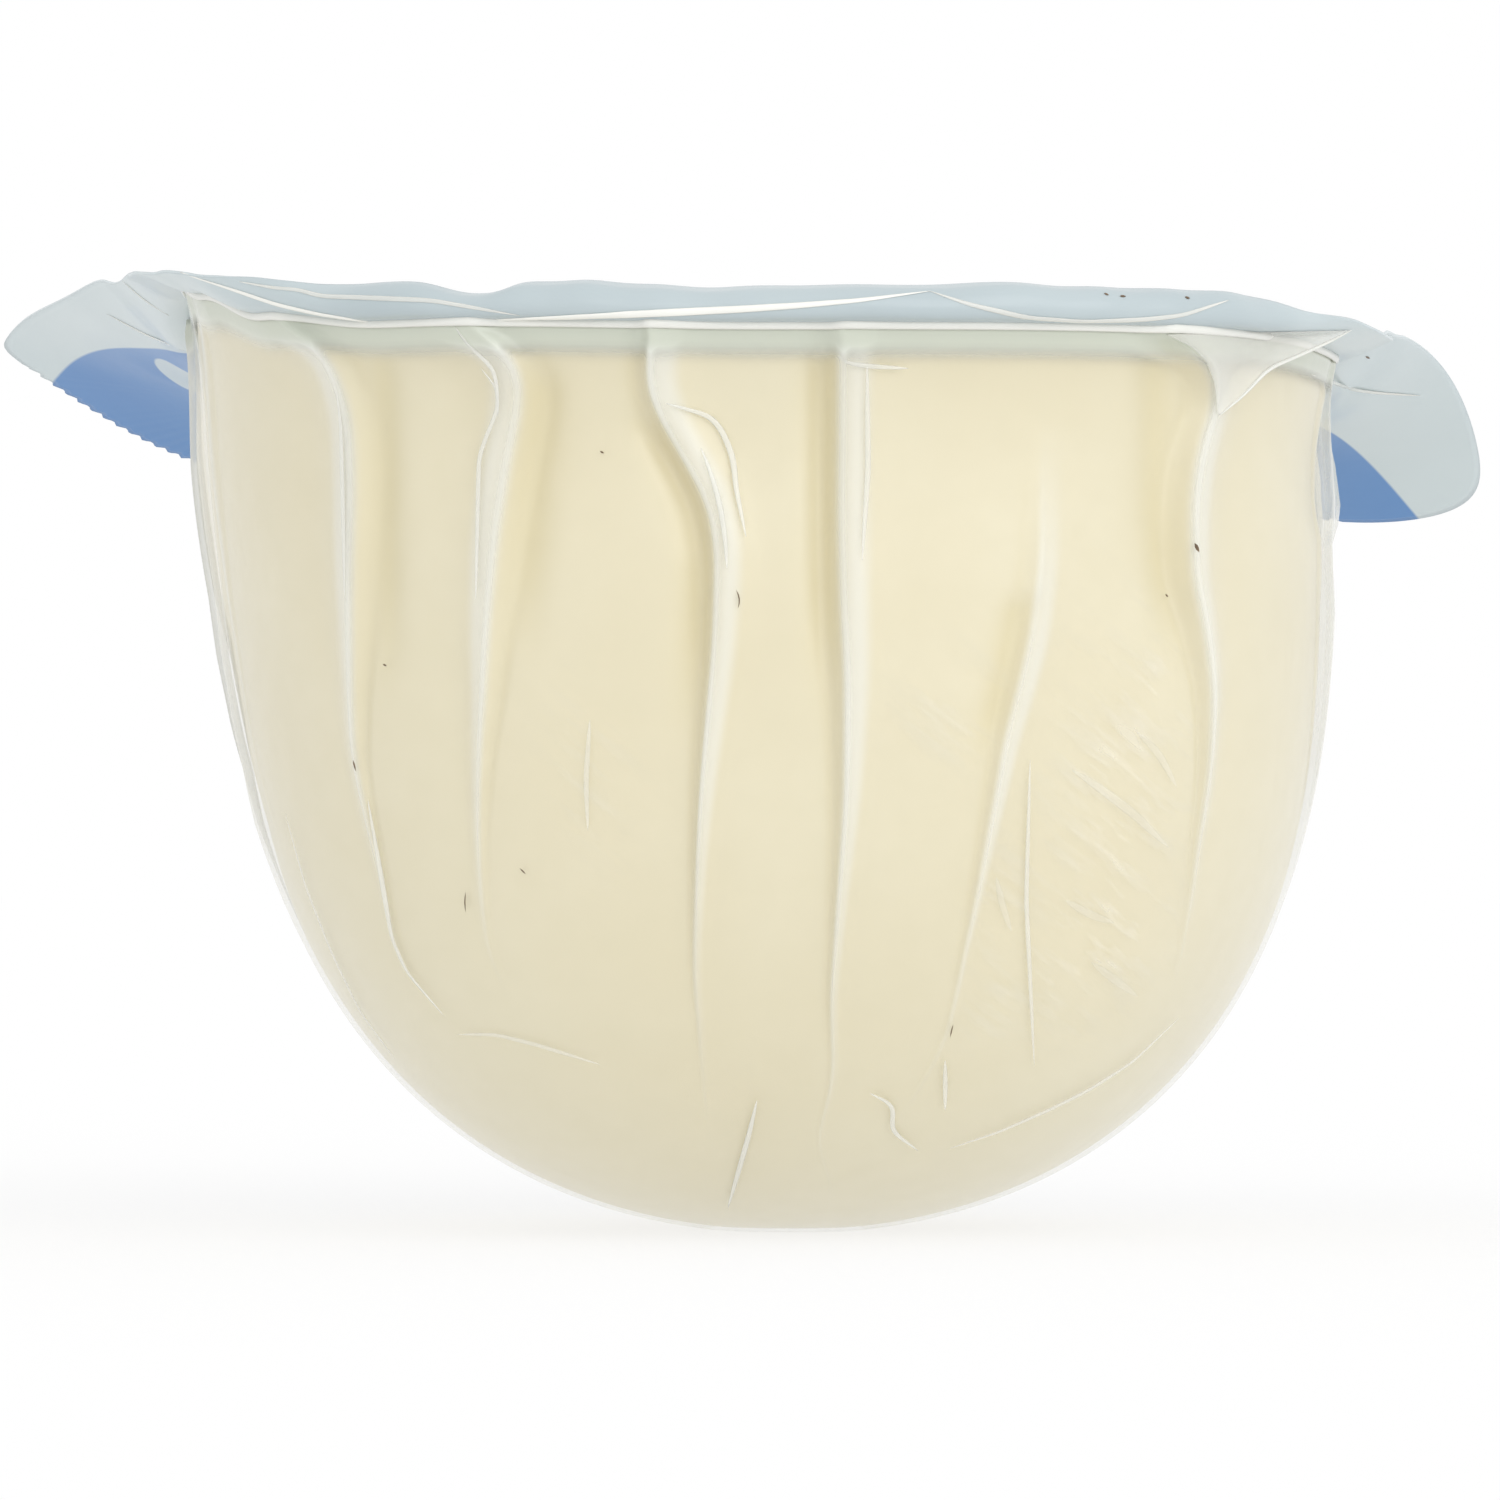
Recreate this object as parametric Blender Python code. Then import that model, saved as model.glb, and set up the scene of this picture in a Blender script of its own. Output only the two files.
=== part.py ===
"""A 300 g scamorza in its vacuum pack, standing on the rounded bottom of the cheese.

Two solids make the object.  scamorza_in_film is the cheese with the clear film that is shrunk
round it: a deep dome whose film gathers into upright pleats and flares out under the lid.
lid_film is the printed film across the flat top, sealed to the clear one in a flange whose
edges curl.  Metres, +Z up, origin at the middle of the flat spot that the dome rests on.

A bearing is an angle round +Z in degrees: 0 is the front (-Y) and 90 the right (+X).
A level is a share of the dome's height: 0 at the resting spot and 1 under the lid.
"""

import math

import bpy
import numpy as np

MM = 0.001

# The dome of cheese.
DOME_WIDTH = 82.6 * MM
DOME_DEPTH = 83.0 * MM
DOME_HEIGHT = 64.2 * MM
PLAN_POWER = 2.4        # 2 is an ellipse, higher is squarer
UPRIGHT_POWER = 3.25    # higher keeps the sides upright for longer
BELLY_POWER = 2.12      # higher makes the bottom broader
REST_CUT = 0.3 * MM     # what the flat resting spot takes off the round bottom

# Towards the lid the whole thing leans a little to the left, and the rim isn't level: this is
# how much higher it is than the front, in mm at some bearings.
LEAN = -2.1 * MM
RIM = {0: 0, 45: 0.2, 90: -0.6, 135: -2.8, 152: -3.6, 180: -2.4, 215: -1.7, 245: 1.8, 270: 4.6, 286: 5.0,
       298: 3.6, 311: 1.5, 325: 0.5}
RIM_START = 0.4     # the level from which the side stretches up to meet the rim

# The clear film between the dome and the lid: how far out it flares, in mm at some bearings.
FLARE_HEIGHT = 13.0 * MM
FLARE = {0: 2.4, 45: 2.6, 70: 1.6, 90: -0.4, 115: 1.8, 180: 3.0, 245: 2.0, 270: 1.2, 300: 1.8, 330: 2.4}

# Pleats of the film: bearings from the rim to the foot, the foot's level, height and half width.
FRONT_PLEATS = (
    ((-62, -62, -61, -60), 0.34, 0.8, 2.6),
    ((-44, -45, -45, -44), 0.30, 1.5, 3.2),
    ((-25, -28, -31, -33), 0.26, 1.6, 3.0),
    ((-11, -6, -7, -10), 0.14, 1.6, 3.0),
    ((7, 6, 5, 6), 0.10, 1.4, 2.6),
    ((25, 24, 21, 18), 0.14, 0.8, 2.2),
    ((42, 40, 42, 45), 0.28, 1.7, 3.2),
    ((60, 60, 61, 62), 0.30, 1.0, 2.6),
    ((78, 79, 80, 80), 0.30, 1.2, 2.6),
)
SIDE_PLEATS = (
    ((93, 92, 92, 92), 0.34, 1.5, 3.0),
    ((268, 268, 267, 266), 0.42, 2.0, 3.0),
)
# Across a pleat: the offset in half widths, and the share of its height there.
PLEAT_SECTION = ((-1.0, 0.0), (-0.4, 0.72), (0.0, 1.0), (0.3, 0.8), (0.75, 0.0))
PLEAT_TOP_LOSS = 0.35       # the share of its height that a pleat loses towards the rim
RIM_FADE = 0.09             # the pleats level out over this share of the height, under the rim
BETWEEN_PLEATS = -0.12      # the dip beside a pleat, as a share of the pleat's height

# The back pleats fall by chance, between these limits.
BACK_PLEATS = 11
BACK_FROM, BACK_TO = 108.0, 252.0
BACK_SHIFT = 0.2            # share of the step from one pleat to the next
BACK_DRIFT = 1.6            # degrees from one height to the next
BACK_FEET = (0.12, 0.34)
BACK_HEIGHTS = (0.9, 1.6)
BACK_HALF_WIDTHS = (2.2, 3.2)
PLEAT_SEED = 4

# The lid film as cut flat, measured from the dome's middle.
LID_THICKNESS = 0.4 * MM
LID_GAP = 0.3 * MM
FRONT_REACH = 48.9 * MM
BACK_REACH = 57.0 * MM
RIGHT_REACH, LEFT_REACH = 47.2 * MM, 46.6 * MM
RIGHT_SPREAD, LEFT_SPREAD = 0.22, 0.268     # how much wider it gets towards the back
FRONT_POWER = 2.3
BACK_POWER = 6.0
RIGHT_CORNER, LEFT_CORNER = 24.0, 90.0      # higher makes a sharper back corner
TOP_SWELL = 0.9 * MM                        # how far the lid bulges over the cheese
SWELL_UNEVEN = 0.35                         # share of the bulge that comes and goes in slow waves

# The flange bends out of the level along a line round the dome.  Towards some bearings of the
# cut edge, this is by how many degrees it tilts up, over how many mm, and from how many mm out
# it curls back over, which it does only round the front.
TILT = {0: 48, 30: 48, 50: 38, 62: 20, 75: 6, 90: 15, 100: 38, 111: 44, 120: 28, 126: 6, 129: -6, 132: -10,
        134: -14, 137: -20, 140: -25, 152: -26, 180: -21, 207: -30, 219: -17, 223: 0, 228: 14, 235: 25,
        249: 44, 258: 46, 270: 38, 283: 22, 294: 28, 303: 26, 312: 30, 322: 40, 335: 48}
BEND_LENGTH = {0: 2.2, 90: 2.6, 115: 3.0, 135: 6.0, 180: 6.0, 225: 7.0, 250: 3.0, 310: 2.4}
CURL_START = {0: 0.8, 35: 0.8, 52: 1.6, 66: 30, 180: 30, 306: 30, 318: 1.6, 328: 0.8}
CURL_RADIUS = 1.3 * MM
CURL_TURN = 120.0
RUMPLE = 0.3 * MM
RUMPLE_WAVES = (13, 5)

# How finely the surfaces are divided.
DOME_COLUMNS_BETWEEN = 2
DOME_ROWS = 20
DOME_INNER_SHARES = (0.86, 0.5)
PROFILE_STEPS = 400
LID_COLUMNS = 96
LID_INNER_RINGS = (0.4, 0.75, 0.93, 1.0)
FLANGE_RINGS = 9
FLANGE_FINE_STEPS = 24


def round_table(table, bearing):
    """A value at each bearing, from a table of a few bearings, joined smoothly all the way round."""
    keys = np.array(sorted(table), float)
    values = np.array([table[k] for k in sorted(table)], float)
    keys = np.concatenate([keys - 360, keys, keys + 360])
    values = np.tile(values, 3)
    at = np.mod(bearing, 360)
    right = np.clip(np.searchsorted(keys, at, side="right"), 1, len(keys) - 1)
    share = (at - keys[right - 1]) / (keys[right] - keys[right - 1])
    share = share * share * (3 - 2 * share)
    return values[right - 1] * (1 - share) + values[right] * share


def plan_radius(bearing, power=PLAN_POWER):
    """Distance from the axis to the dome's widest outline: a superellipse seen from above."""
    turn = np.radians(bearing)
    across = np.abs(np.sin(turn)) / (DOME_WIDTH / 2)
    along = np.abs(np.cos(turn)) / (DOME_DEPTH / 2)
    return (across**power + along**power) ** (-1 / power)


def seal_radius(bearing):
    """Distance from the axis to the line where the clear film meets the lid."""
    return plan_radius(bearing) + round_table(FLARE, bearing) * MM


def bend_radius(bearing):
    """Distance to the line where the flange bends: the seal in front, squarer at the back."""
    power = np.where(np.cos(np.radians(bearing)) < 0, BACK_POWER, PLAN_POWER)
    return plan_radius(bearing, power) + round_table(FLARE, bearing) * MM


def rim_rise(bearing):
    """How much higher than the front the rim is at a bearing."""
    return round_table(RIM, bearing) * MM


def lean(points):
    """The same points moved sideways, more and more towards the top."""
    shift = np.zeros_like(points)
    shift[..., 0] = LEAN * (points[..., 2] / DOME_HEIGHT) ** 2
    return points + shift


def dome_profile(rows):
    """Levels and radius shares up the dome's side, evenly spaced along its curve."""
    turn = np.linspace(0, math.pi / 2, PROFILE_STEPS)
    radius = np.sin(turn) ** (2 / BELLY_POWER)
    level = 1 - np.cos(turn) ** (2 / UPRIGHT_POWER)
    half = DOME_WIDTH / 2
    height = DOME_HEIGHT + REST_CUT
    run = np.concatenate([[0], np.cumsum(np.hypot(np.diff(radius) * half, np.diff(level) * height))])
    start = np.interp(REST_CUT / height, level, run)
    even = np.linspace(start, run[-1], rows)
    radius, level = np.interp(even, run, radius), np.interp(even, run, level)
    return (level * height - REST_CUT) / DOME_HEIGHT, radius


def pleats():
    """Every pleat as (bearings from rim to foot, foot level, height, half width), all in order."""
    draw = np.random.default_rng(PLEAT_SEED)
    made = [*FRONT_PLEATS, *SIDE_PLEATS]
    step = (BACK_TO - BACK_FROM) / (BACK_PLEATS - 1)
    for k in range(BACK_PLEATS):
        top = BACK_FROM + k * step + draw.uniform(-BACK_SHIFT, BACK_SHIFT) * step
        drift = np.cumsum(draw.uniform(-BACK_DRIFT, BACK_DRIFT, 3))
        bearings = (top, *(top + drift))
        foot, height, half = (draw.uniform(*limits) for limits in (BACK_FEET, BACK_HEIGHTS, BACK_HALF_WIDTHS))
        made.append((bearings, foot, height, half))
    return sorted(made, key=lambda pleat: pleat[0][0])


def pleat_bearings(pleat, level):
    """Where a pleat is at each level: its four bearings joined smoothly from rim to foot."""
    bearings, foot, _, _ = pleat
    down = np.clip((1 - level) / (1 - foot), 0, 1)
    return np.interp(down, np.linspace(0, 1, len(bearings)), bearings)


def pleat_swell(pleat, level):
    """How high a pleat stands at each level: full under the lid, nothing at the rim and the foot."""
    _, foot, height, _ = pleat
    up = np.clip((level - foot) / (1 - foot), 0, 1)
    rim = np.clip((1 - level) / RIM_FADE, 0, 1)
    return height * MM * up**0.8 * (1 - PLEAT_TOP_LOSS * up**3) * rim


def top_height(x, y):
    """Height of the lid over the cheese, which is a little uneven, with the seal line all level."""
    bearing = np.degrees(np.arctan2(x, -y))
    out = np.clip(np.hypot(x, y) / seal_radius(bearing), 0, 1)
    waves = np.sin(85 * x + 40 * y) * np.cos(70 * y - 30 * x)
    swell = TOP_SWELL * (1 - out**2) * (1 + SWELL_UNEVEN * waves)
    return DOME_HEIGHT + LID_GAP + LID_THICKNESS / 2 + rim_rise(bearing) * out**2 + swell


def material(name, colour, roughness):
    """A plain Principled material for one part."""
    made = bpy.data.materials.new(name)
    made.use_nodes = True
    shader = made.node_tree.nodes["Principled BSDF"]
    shader.inputs["Base Color"].default_value = (*colour, 1.0)
    shader.inputs["Roughness"].default_value = roughness
    shader.inputs["Metallic"].default_value = 0.0
    return made


def solid(name, points, faces, finish):
    """One named object from points and faces, shaded smooth with its folds kept sharp."""
    mesh = bpy.data.meshes.new(name)
    mesh.from_pydata(points.tolist(), [], faces)
    mesh.validate()
    mesh.materials.append(finish)
    mesh.shade_smooth()
    mesh.set_sharp_from_angle(angle=math.radians(50))
    made = bpy.data.objects.new(name, mesh)
    bpy.context.scene.collection.objects.link(made)
    return made


def closed_rings(rings, columns, first_pole, last_pole):
    """Faces of a closed body of stacked rings with a pole at each end."""
    faces = []
    for column in range(columns):
        after = (column + 1) % columns
        faces.append((first_pole, after, column))
        for ring in range(rings - 1):
            low, high = ring * columns, (ring + 1) * columns
            faces.append((low + column, low + after, high + after))
            faces.append((low + column, high + after, high + column))
        top = (rings - 1) * columns
        faces.append((top + column, top + after, last_pole))
    return faces


def dome_points():
    """Rings of the dome from its resting spot to the rim, then in across the top under the lid."""
    levels, radii = dome_profile(DOME_ROWS)
    all_pleats = pleats()
    rows = []
    for level, radius in zip(levels, radii):
        centres = np.array([pleat_bearings(pleat, level) for pleat in all_pleats])
        following = np.append(centres[1:], centres[0] + 360)
        bearings, swell = [], []
        for pleat, centre, nearest in zip(all_pleats, centres, following):
            half = math.degrees(pleat[3] * MM / (DOME_WIDTH / 2))
            height = pleat_swell(pleat, level)
            for offset, share in PLEAT_SECTION:
                bearings.append(centre + offset * half)
                swell.append(height * share)
            for gap in range(DOME_COLUMNS_BETWEEN):
                share = (gap + 1) / (DOME_COLUMNS_BETWEEN + 1)
                start, end = centre + PLEAT_SECTION[-1][0] * half, nearest + PLEAT_SECTION[0][0] * half
                bearings.append(start + (end - start) * share)
                swell.append(BETWEEN_PLEATS * height)
        bearings = np.array(bearings)
        up = np.clip((level * DOME_HEIGHT - (DOME_HEIGHT - FLARE_HEIGHT)) / FLARE_HEIGHT, 0, 1)
        flare = round_table(FLARE, bearings) * MM * up**3
        out = plan_radius(bearings) * radius + flare + np.array(swell)
        turn = np.radians(bearings)
        stretch = max(level - RIM_START, 0) / (1 - RIM_START)
        height = level * DOME_HEIGHT + rim_rise(bearings) * stretch**2
        rows.append(np.column_stack([out * np.sin(turn), -out * np.cos(turn), height]))
    rim = rows[-1]
    for share in DOME_INNER_SHARES:
        inward = rim * [share, share, 1]
        inward[:, 2] = top_height(inward[:, 0], inward[:, 1]) - LID_THICKNESS / 2 - LID_GAP
        rows.append(inward)
    return rows


def make_dome(finish):
    """The cheese and the clear film round it, as one body."""
    rows = dome_points()
    columns = len(rows[0])
    top = top_height(0.0, 0.0) - LID_THICKNESS / 2 - LID_GAP
    points = np.vstack([*rows, [[0, 0, 0]], [[0, 0, top]]])
    first_pole = len(rows) * columns
    faces = closed_rings(len(rows), columns, first_pole, first_pole + 1)
    return solid("scamorza_in_film", lean(points), faces, finish)


def outside_cut(x, y):
    """Above zero outside the flat lid's cut edge: round in front, straight lines at the back."""
    wide = np.where(x > 0, RIGHT_REACH, LEFT_REACH)
    spread = np.where(x > 0, RIGHT_SPREAD, LEFT_SPREAD)
    front = (np.abs(x) / wide) ** FRONT_POWER + (np.abs(y) / FRONT_REACH) ** FRONT_POWER - 1
    sides = np.clip((np.abs(x) - spread * y) / wide, 0, None)
    back = np.clip(y / BACK_REACH, 0, None)
    corner = np.where(x > 0, RIGHT_CORNER, LEFT_CORNER)
    return np.where(y < 0, front, (sides**corner + back**corner) ** (1 / corner) - 1)


def bend_line():
    """Points evenly spaced along the line where the flange bends, and the directions out from it."""
    bearing = np.linspace(0, 360, 1441)
    turn, radius = np.radians(bearing), bend_radius(bearing)
    path = np.column_stack([radius * np.sin(turn), -radius * np.cos(turn)])
    run = np.concatenate([[0], np.cumsum(np.hypot(*np.diff(path, axis=0).T))])
    even = np.linspace(0, run[-1], LID_COLUMNS, endpoint=False)
    line = np.column_stack([np.interp(even, run, path[:, 0]), np.interp(even, run, path[:, 1])])
    along = np.roll(line, -1, axis=0) - np.roll(line, 1, axis=0)
    outward = np.column_stack([along[:, 1], -along[:, 0]])
    return line, outward / np.hypot(*outward.T)[:, None]


def flange_reach(line, outward):
    """How far each point of the bend line is from the cut edge, found by halving the distance."""
    low = np.zeros(len(line))
    high = np.full(len(line), 60 * MM)
    for _ in range(30):
        middle = (low + high) / 2
        at = line + outward * middle[:, None]
        past = outside_cut(at[:, 0], at[:, 1]) > 0
        low, high = np.where(past, low, middle), np.where(past, middle, high)
    return low


def flange_profile(bearing, reach):
    """Distances out and heights across the flange: bent up at first, then curling back over."""
    steps = FLANGE_RINGS * FLANGE_FINE_STEPS
    share = np.linspace(0, 1, steps + 1)[:, None]
    along = share * reach
    entry = np.clip(along / (round_table(BEND_LENGTH, bearing) * MM), 0, 1)
    tilt = np.radians(round_table(TILT, bearing)) * entry * entry * (3 - 2 * entry)
    turn = np.radians(bearing)
    rumple = RUMPLE * np.sin(turn * RUMPLE_WAVES[0]) * np.cos(turn * RUMPLE_WAVES[1])
    start = round_table(CURL_START, bearing) * MM + rumple
    angle = tilt + np.clip((along - start) / CURL_RADIUS, 0, math.radians(CURL_TURN))
    middle = (angle[1:] + angle[:-1]) / 2
    step = reach / steps
    out = np.cumsum(np.cos(middle) * step, axis=0)
    up = np.cumsum(np.sin(middle) * step, axis=0)
    at_rings = slice(FLANGE_FINE_STEPS - 1, None, FLANGE_FINE_STEPS)
    return out[at_rings], up[at_rings]


def lid_middle():
    """The lid's middle surface as rings of points, from near its centre out to the cut edge."""
    line, outward = bend_line()
    reach = flange_reach(line, outward)
    edge = line + outward * reach[:, None]
    bearing = np.mod(np.degrees(np.arctan2(edge[:, 0], -edge[:, 1])), 360)
    rings = []
    for share in LID_INNER_RINGS:
        flat = line * share
        rings.append(np.column_stack([flat, top_height(flat[:, 0], flat[:, 1])]))
    level = rings[-1][:, 2]
    out, up = flange_profile(bearing, reach)
    for distance, height in zip(out, up):
        flat = line + outward * distance[:, None]
        rings.append(np.column_stack([flat, level + height]))
    return np.array(rings)


def surface_normals(rings, centre):
    """Unit normals of the rings' surface, facing up over the cheese."""
    inner = np.broadcast_to(centre, rings[:1].shape)
    padded = np.concatenate([inner, rings, 2 * rings[-1:] - rings[-2:-1]])
    outward = padded[2:] - padded[:-2]
    around = np.roll(rings, -1, axis=1) - np.roll(rings, 1, axis=1)
    normal = np.cross(outward, around)
    return normal / np.linalg.norm(normal, axis=2)[:, :, None]


def make_lid(finish):
    """The printed lid and its flange, as one thin closed sheet."""
    rings = lid_middle()
    count, columns, _ = rings.shape
    centre = np.array([0, 0, float(top_height(0.0, 0.0))])
    half = surface_normals(rings, centre) * LID_THICKNESS / 2
    lower, upper = rings - half, (rings + half)[::-1]
    stack = np.concatenate([lower, upper]).reshape(-1, 3)
    poles = np.array([centre - [0, 0, LID_THICKNESS / 2], centre + [0, 0, LID_THICKNESS / 2]])
    first_pole = 2 * count * columns
    faces = closed_rings(2 * count, columns, first_pole, first_pole + 1)
    return solid("lid_film", lean(np.vstack([stack, poles])), faces, finish)


def main():
    for old in list(bpy.data.objects):
        bpy.data.objects.remove(old)
    cheese = material("cream_cheese_under_film", (0.80, 0.72, 0.54), 0.30)
    printed = material("pale_printed_film", (0.60, 0.67, 0.69), 0.25)
    make_dome(cheese)
    make_lid(printed)


main()
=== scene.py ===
# %% [markdown]
# # A scamorza in its vacuum pack
#
# The object is a small dome of stretched-curd cheese, sealed between two films.  A clear film is
# shrunk round the cheese, and because a flat film can't follow a dome it gathers into upright
# pleats.  A printed lid film closes the flat top, and the rim where the two films are welded
# sticks out as a flange that curls and droops as it likes.
#
# Every part here is a surface worked out on a grid: two numbers in, one point out.  That suits
# the object, because each film is one sheet and a sheet has exactly two directions.

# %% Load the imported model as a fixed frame
import math

import bpy
import numpy as np
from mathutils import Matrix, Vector
from mathutils.bvhtree import BVHTree


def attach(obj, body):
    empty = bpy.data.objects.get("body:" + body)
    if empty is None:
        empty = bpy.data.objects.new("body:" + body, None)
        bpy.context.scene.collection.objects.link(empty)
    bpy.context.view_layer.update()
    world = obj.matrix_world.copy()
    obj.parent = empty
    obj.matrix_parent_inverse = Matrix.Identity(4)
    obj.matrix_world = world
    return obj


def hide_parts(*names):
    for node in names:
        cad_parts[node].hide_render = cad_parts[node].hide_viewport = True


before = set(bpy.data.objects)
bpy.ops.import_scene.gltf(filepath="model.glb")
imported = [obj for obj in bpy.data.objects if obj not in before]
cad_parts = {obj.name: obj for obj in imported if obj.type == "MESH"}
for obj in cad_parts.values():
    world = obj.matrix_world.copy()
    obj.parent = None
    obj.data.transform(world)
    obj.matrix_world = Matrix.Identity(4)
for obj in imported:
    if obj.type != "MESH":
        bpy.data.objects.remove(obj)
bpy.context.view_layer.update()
MM = 0.001

# %% [markdown]
# ## The dome and its rim
#
# The dome could be sculpted, but its outline is simple enough for a formula: seen from above it
# is a superellipse, a little squarer than a circle, and from the side another superellipse keeps
# the flanks upright before they turn under.  Bearings are degrees round the upright axis, with 0
# in front and 90 on the right.  A level is a share of the height, 0 at the foot and 1 at the rim.

# %% Sizes of the dome
DOME_WIDTH = 82.6 * MM
DOME_DEPTH = 83.0 * MM
DOME_HEIGHT = 64.2 * MM
PLAN_POWER = 2.4
UPRIGHT_POWER = 3.25
BELLY_POWER = 2.12
REST_CUT = 0.3 * MM         # how much of the round bottom the flat spot takes away
LEAN = -2.1 * MM            # how far the top leans to the left
RIM = {0: 0, 45: 0.2, 90: -0.6, 135: -2.8, 152: -3.6, 180: -2.4, 215: -1.7, 245: 1.8, 270: 4.6,
       286: 5.0, 298: 3.6, 311: 1.5, 325: 0.5}                  # rise of the rim in mm by bearing
RIM_START = 0.4             # the level from which the rise grows in
FLARE_HEIGHT = 13.0 * MM
FLARE = {0: 2.4, 45: 2.6, 70: 1.6, 90: -0.4, 115: 1.8, 180: 3.0, 245: 2.0, 270: 1.2, 300: 1.8,
         330: 2.4}                                              # flare in mm by bearing
print("dome, mm:", DOME_WIDTH / MM, "wide,", DOME_HEIGHT / MM, "high")


# %% Smooth tables and the dome's radii
def smooth(share):
    """An S-shaped step: 0 below 0, 1 above 1, and 3s^2 - 2s^3 between."""
    share = np.clip(share, 0, 1)
    return share * share * (3 - 2 * share)


def round_table(table, bearing):
    """Values at a few bearings, joined by S-shaped steps all the way round the circle."""
    keys = np.array(sorted(table), float)
    values = np.array([table[k] for k in sorted(table)], float)
    keys = np.concatenate([keys - 360, keys, keys + 360])
    values = np.tile(values, 3)
    at = np.mod(bearing, 360)
    right = np.clip(np.searchsorted(keys, at, side="right"), 1, len(keys) - 1)
    share = smooth((at - keys[right - 1]) / (keys[right] - keys[right - 1]))
    return values[right - 1] * (1 - share) + values[right] * share


def plan_radius(bearing, power=PLAN_POWER):
    """Superellipse: the radius r for which |r sin b / a|^n + |r cos b / c|^n = 1."""
    turn = np.radians(bearing)
    across = np.abs(np.sin(turn)) / (DOME_WIDTH / 2)
    along = np.abs(np.cos(turn)) / (DOME_DEPTH / 2)
    return (across**power + along**power) ** (-1 / power)


def seal_radius(bearing):
    """Where the clear film meets the lid: the dome's radius plus the flare at that bearing."""
    return plan_radius(bearing) + round_table(FLARE, bearing) * MM


def rim_rise(bearing):
    """How much higher than the front the rim is at a bearing."""
    return round_table(RIM, bearing) * MM


def stretched(level, bearing):
    """Height of a level: level times the dome's height, plus the rim's rise in its upper part."""
    lift = np.clip((level - RIM_START) / (1 - RIM_START), 0, None)
    return level * DOME_HEIGHT + rim_rise(bearing) * lift**2


def lean(points):
    """Every point moved sideways by the square of its height."""
    shift = np.zeros_like(points)
    shift[..., 0] = LEAN * (points[..., 2] / DOME_HEIGHT) ** 2
    return points + shift


def side_share(level):
    """Share of the full radius at a level: r for which r^m + (1 - level)^n = 1."""
    raised = np.clip((level * DOME_HEIGHT + REST_CUT) / (DOME_HEIGHT + REST_CUT), 0, 1)
    return (1 - (1 - raised) ** UPRIGHT_POWER) ** (1 / BELLY_POWER)


print("seal radius at the front, mm:", round(float(seal_radius(0.0)) / MM, 1))

# %% [markdown]
# ## The camera
#
# The pack is seen from in front with a long lens, from a little below its lid, which is why the
# underside of the flange shows.  The camera stands 600 mm away and 28 mm above the floor.  It comes
# before the details, because the pleats are placed by where they are seen: a ray from the camera
# through a picture point is followed until it meets the dome.

# %% Camera
VIEW_SIZE = 1500.0
SEEN_CENTRE_X = 788.0
SEEN_HORIZON = 852.0
CAMERA_AWAY = 600 * MM
CAMERA_UP = 28 * MM
FOCUS = 8058.0          # picture points per unit of slope
SENSOR = 36.0

camera_data = bpy.data.cameras.new("pack_camera")
camera_data.sensor_width = SENSOR
camera_data.lens = SENSOR * FOCUS / VIEW_SIZE
camera = bpy.data.objects.new("pack_camera", camera_data)
camera_side = (VIEW_SIZE / 2 - SEEN_CENTRE_X) / FOCUS * CAMERA_AWAY
camera.location = (camera_side, -CAMERA_AWAY, CAMERA_UP)
tilt_up = math.atan((SEEN_HORIZON - VIEW_SIZE / 2) / FOCUS)
camera.rotation_euler = (math.pi / 2 + tilt_up, 0, 0)
bpy.context.scene.collection.objects.link(camera)
bpy.context.scene.camera = camera
print("lens, mm:", round(camera_data.lens, 1), "tilt up, degrees:", round(math.degrees(tilt_up), 2))


# %% From a picture point to a bearing and a level on the dome
def seen_at(picture_points):
    """Bearings and levels of the front of the dome behind picture points, found by repeating
    height -> radius -> bearing -> distance until it settles."""
    seen_x, seen_y = np.array(picture_points, float).T
    away = np.full(len(seen_x), CAMERA_AWAY - DOME_DEPTH / 2)
    bearing = np.zeros(len(seen_x))
    for _ in range(25):
        height = CAMERA_UP + (SEEN_HORIZON - seen_y) * away / FOCUS
        rise = rim_rise(bearing)
        level = np.clip(height / DOME_HEIGHT, 0.0, 1.1)
        lift = np.clip((level - RIM_START) / (1 - RIM_START), 0, None)
        level = np.clip((height - rise * np.minimum(lift, 1) ** 2) / DOME_HEIGHT, 0.0, 1.0)
        flare = round_table(FLARE, bearing) * MM
        up = np.clip((level * DOME_HEIGHT - (DOME_HEIGHT - FLARE_HEIGHT)) / FLARE_HEIGHT, 0, 1)
        radius = plan_radius(bearing) * side_share(level) + flare * up**3
        across = camera_side + (seen_x - VIEW_SIZE / 2) * away / FOCUS - LEAN * (height / DOME_HEIGHT) ** 2
        sine = np.clip(across / np.maximum(radius, 1e-6), -0.999, 0.999)
        bearing = 0.5 * bearing + 0.5 * np.degrees(np.arcsin(sine))
        away = CAMERA_AWAY - radius * np.cos(np.radians(bearing))
    return bearing, level


middle_bearing, middle_level = seen_at([(SEEN_CENTRE_X, 700)])
print("middle of the picture: bearing", round(middle_bearing[0], 2), "level", round(middle_level[0], 2))


# %% From picture points to places on a finished piece
def through(picture_points, spacing=5.0):
    """A picture path with a point every few picture points along it."""
    knots = np.array(picture_points, float)
    run = np.concatenate([[0], np.cumsum(np.hypot(*np.diff(knots, axis=0).T))])
    at = np.linspace(0, run[-1], max(4, int(run[-1] / spacing)))
    path = np.column_stack([np.interp(at, run, knots[:, 0]), np.interp(at, run, knots[:, 1])])
    padded = np.vstack([2 * path[0] - path[1], path, 2 * path[-1] - path[-2]])
    path[1:-1] = (padded[:-2] + 2 * padded[1:-1] + padded[2:])[1:-1] / 4
    return path


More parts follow.
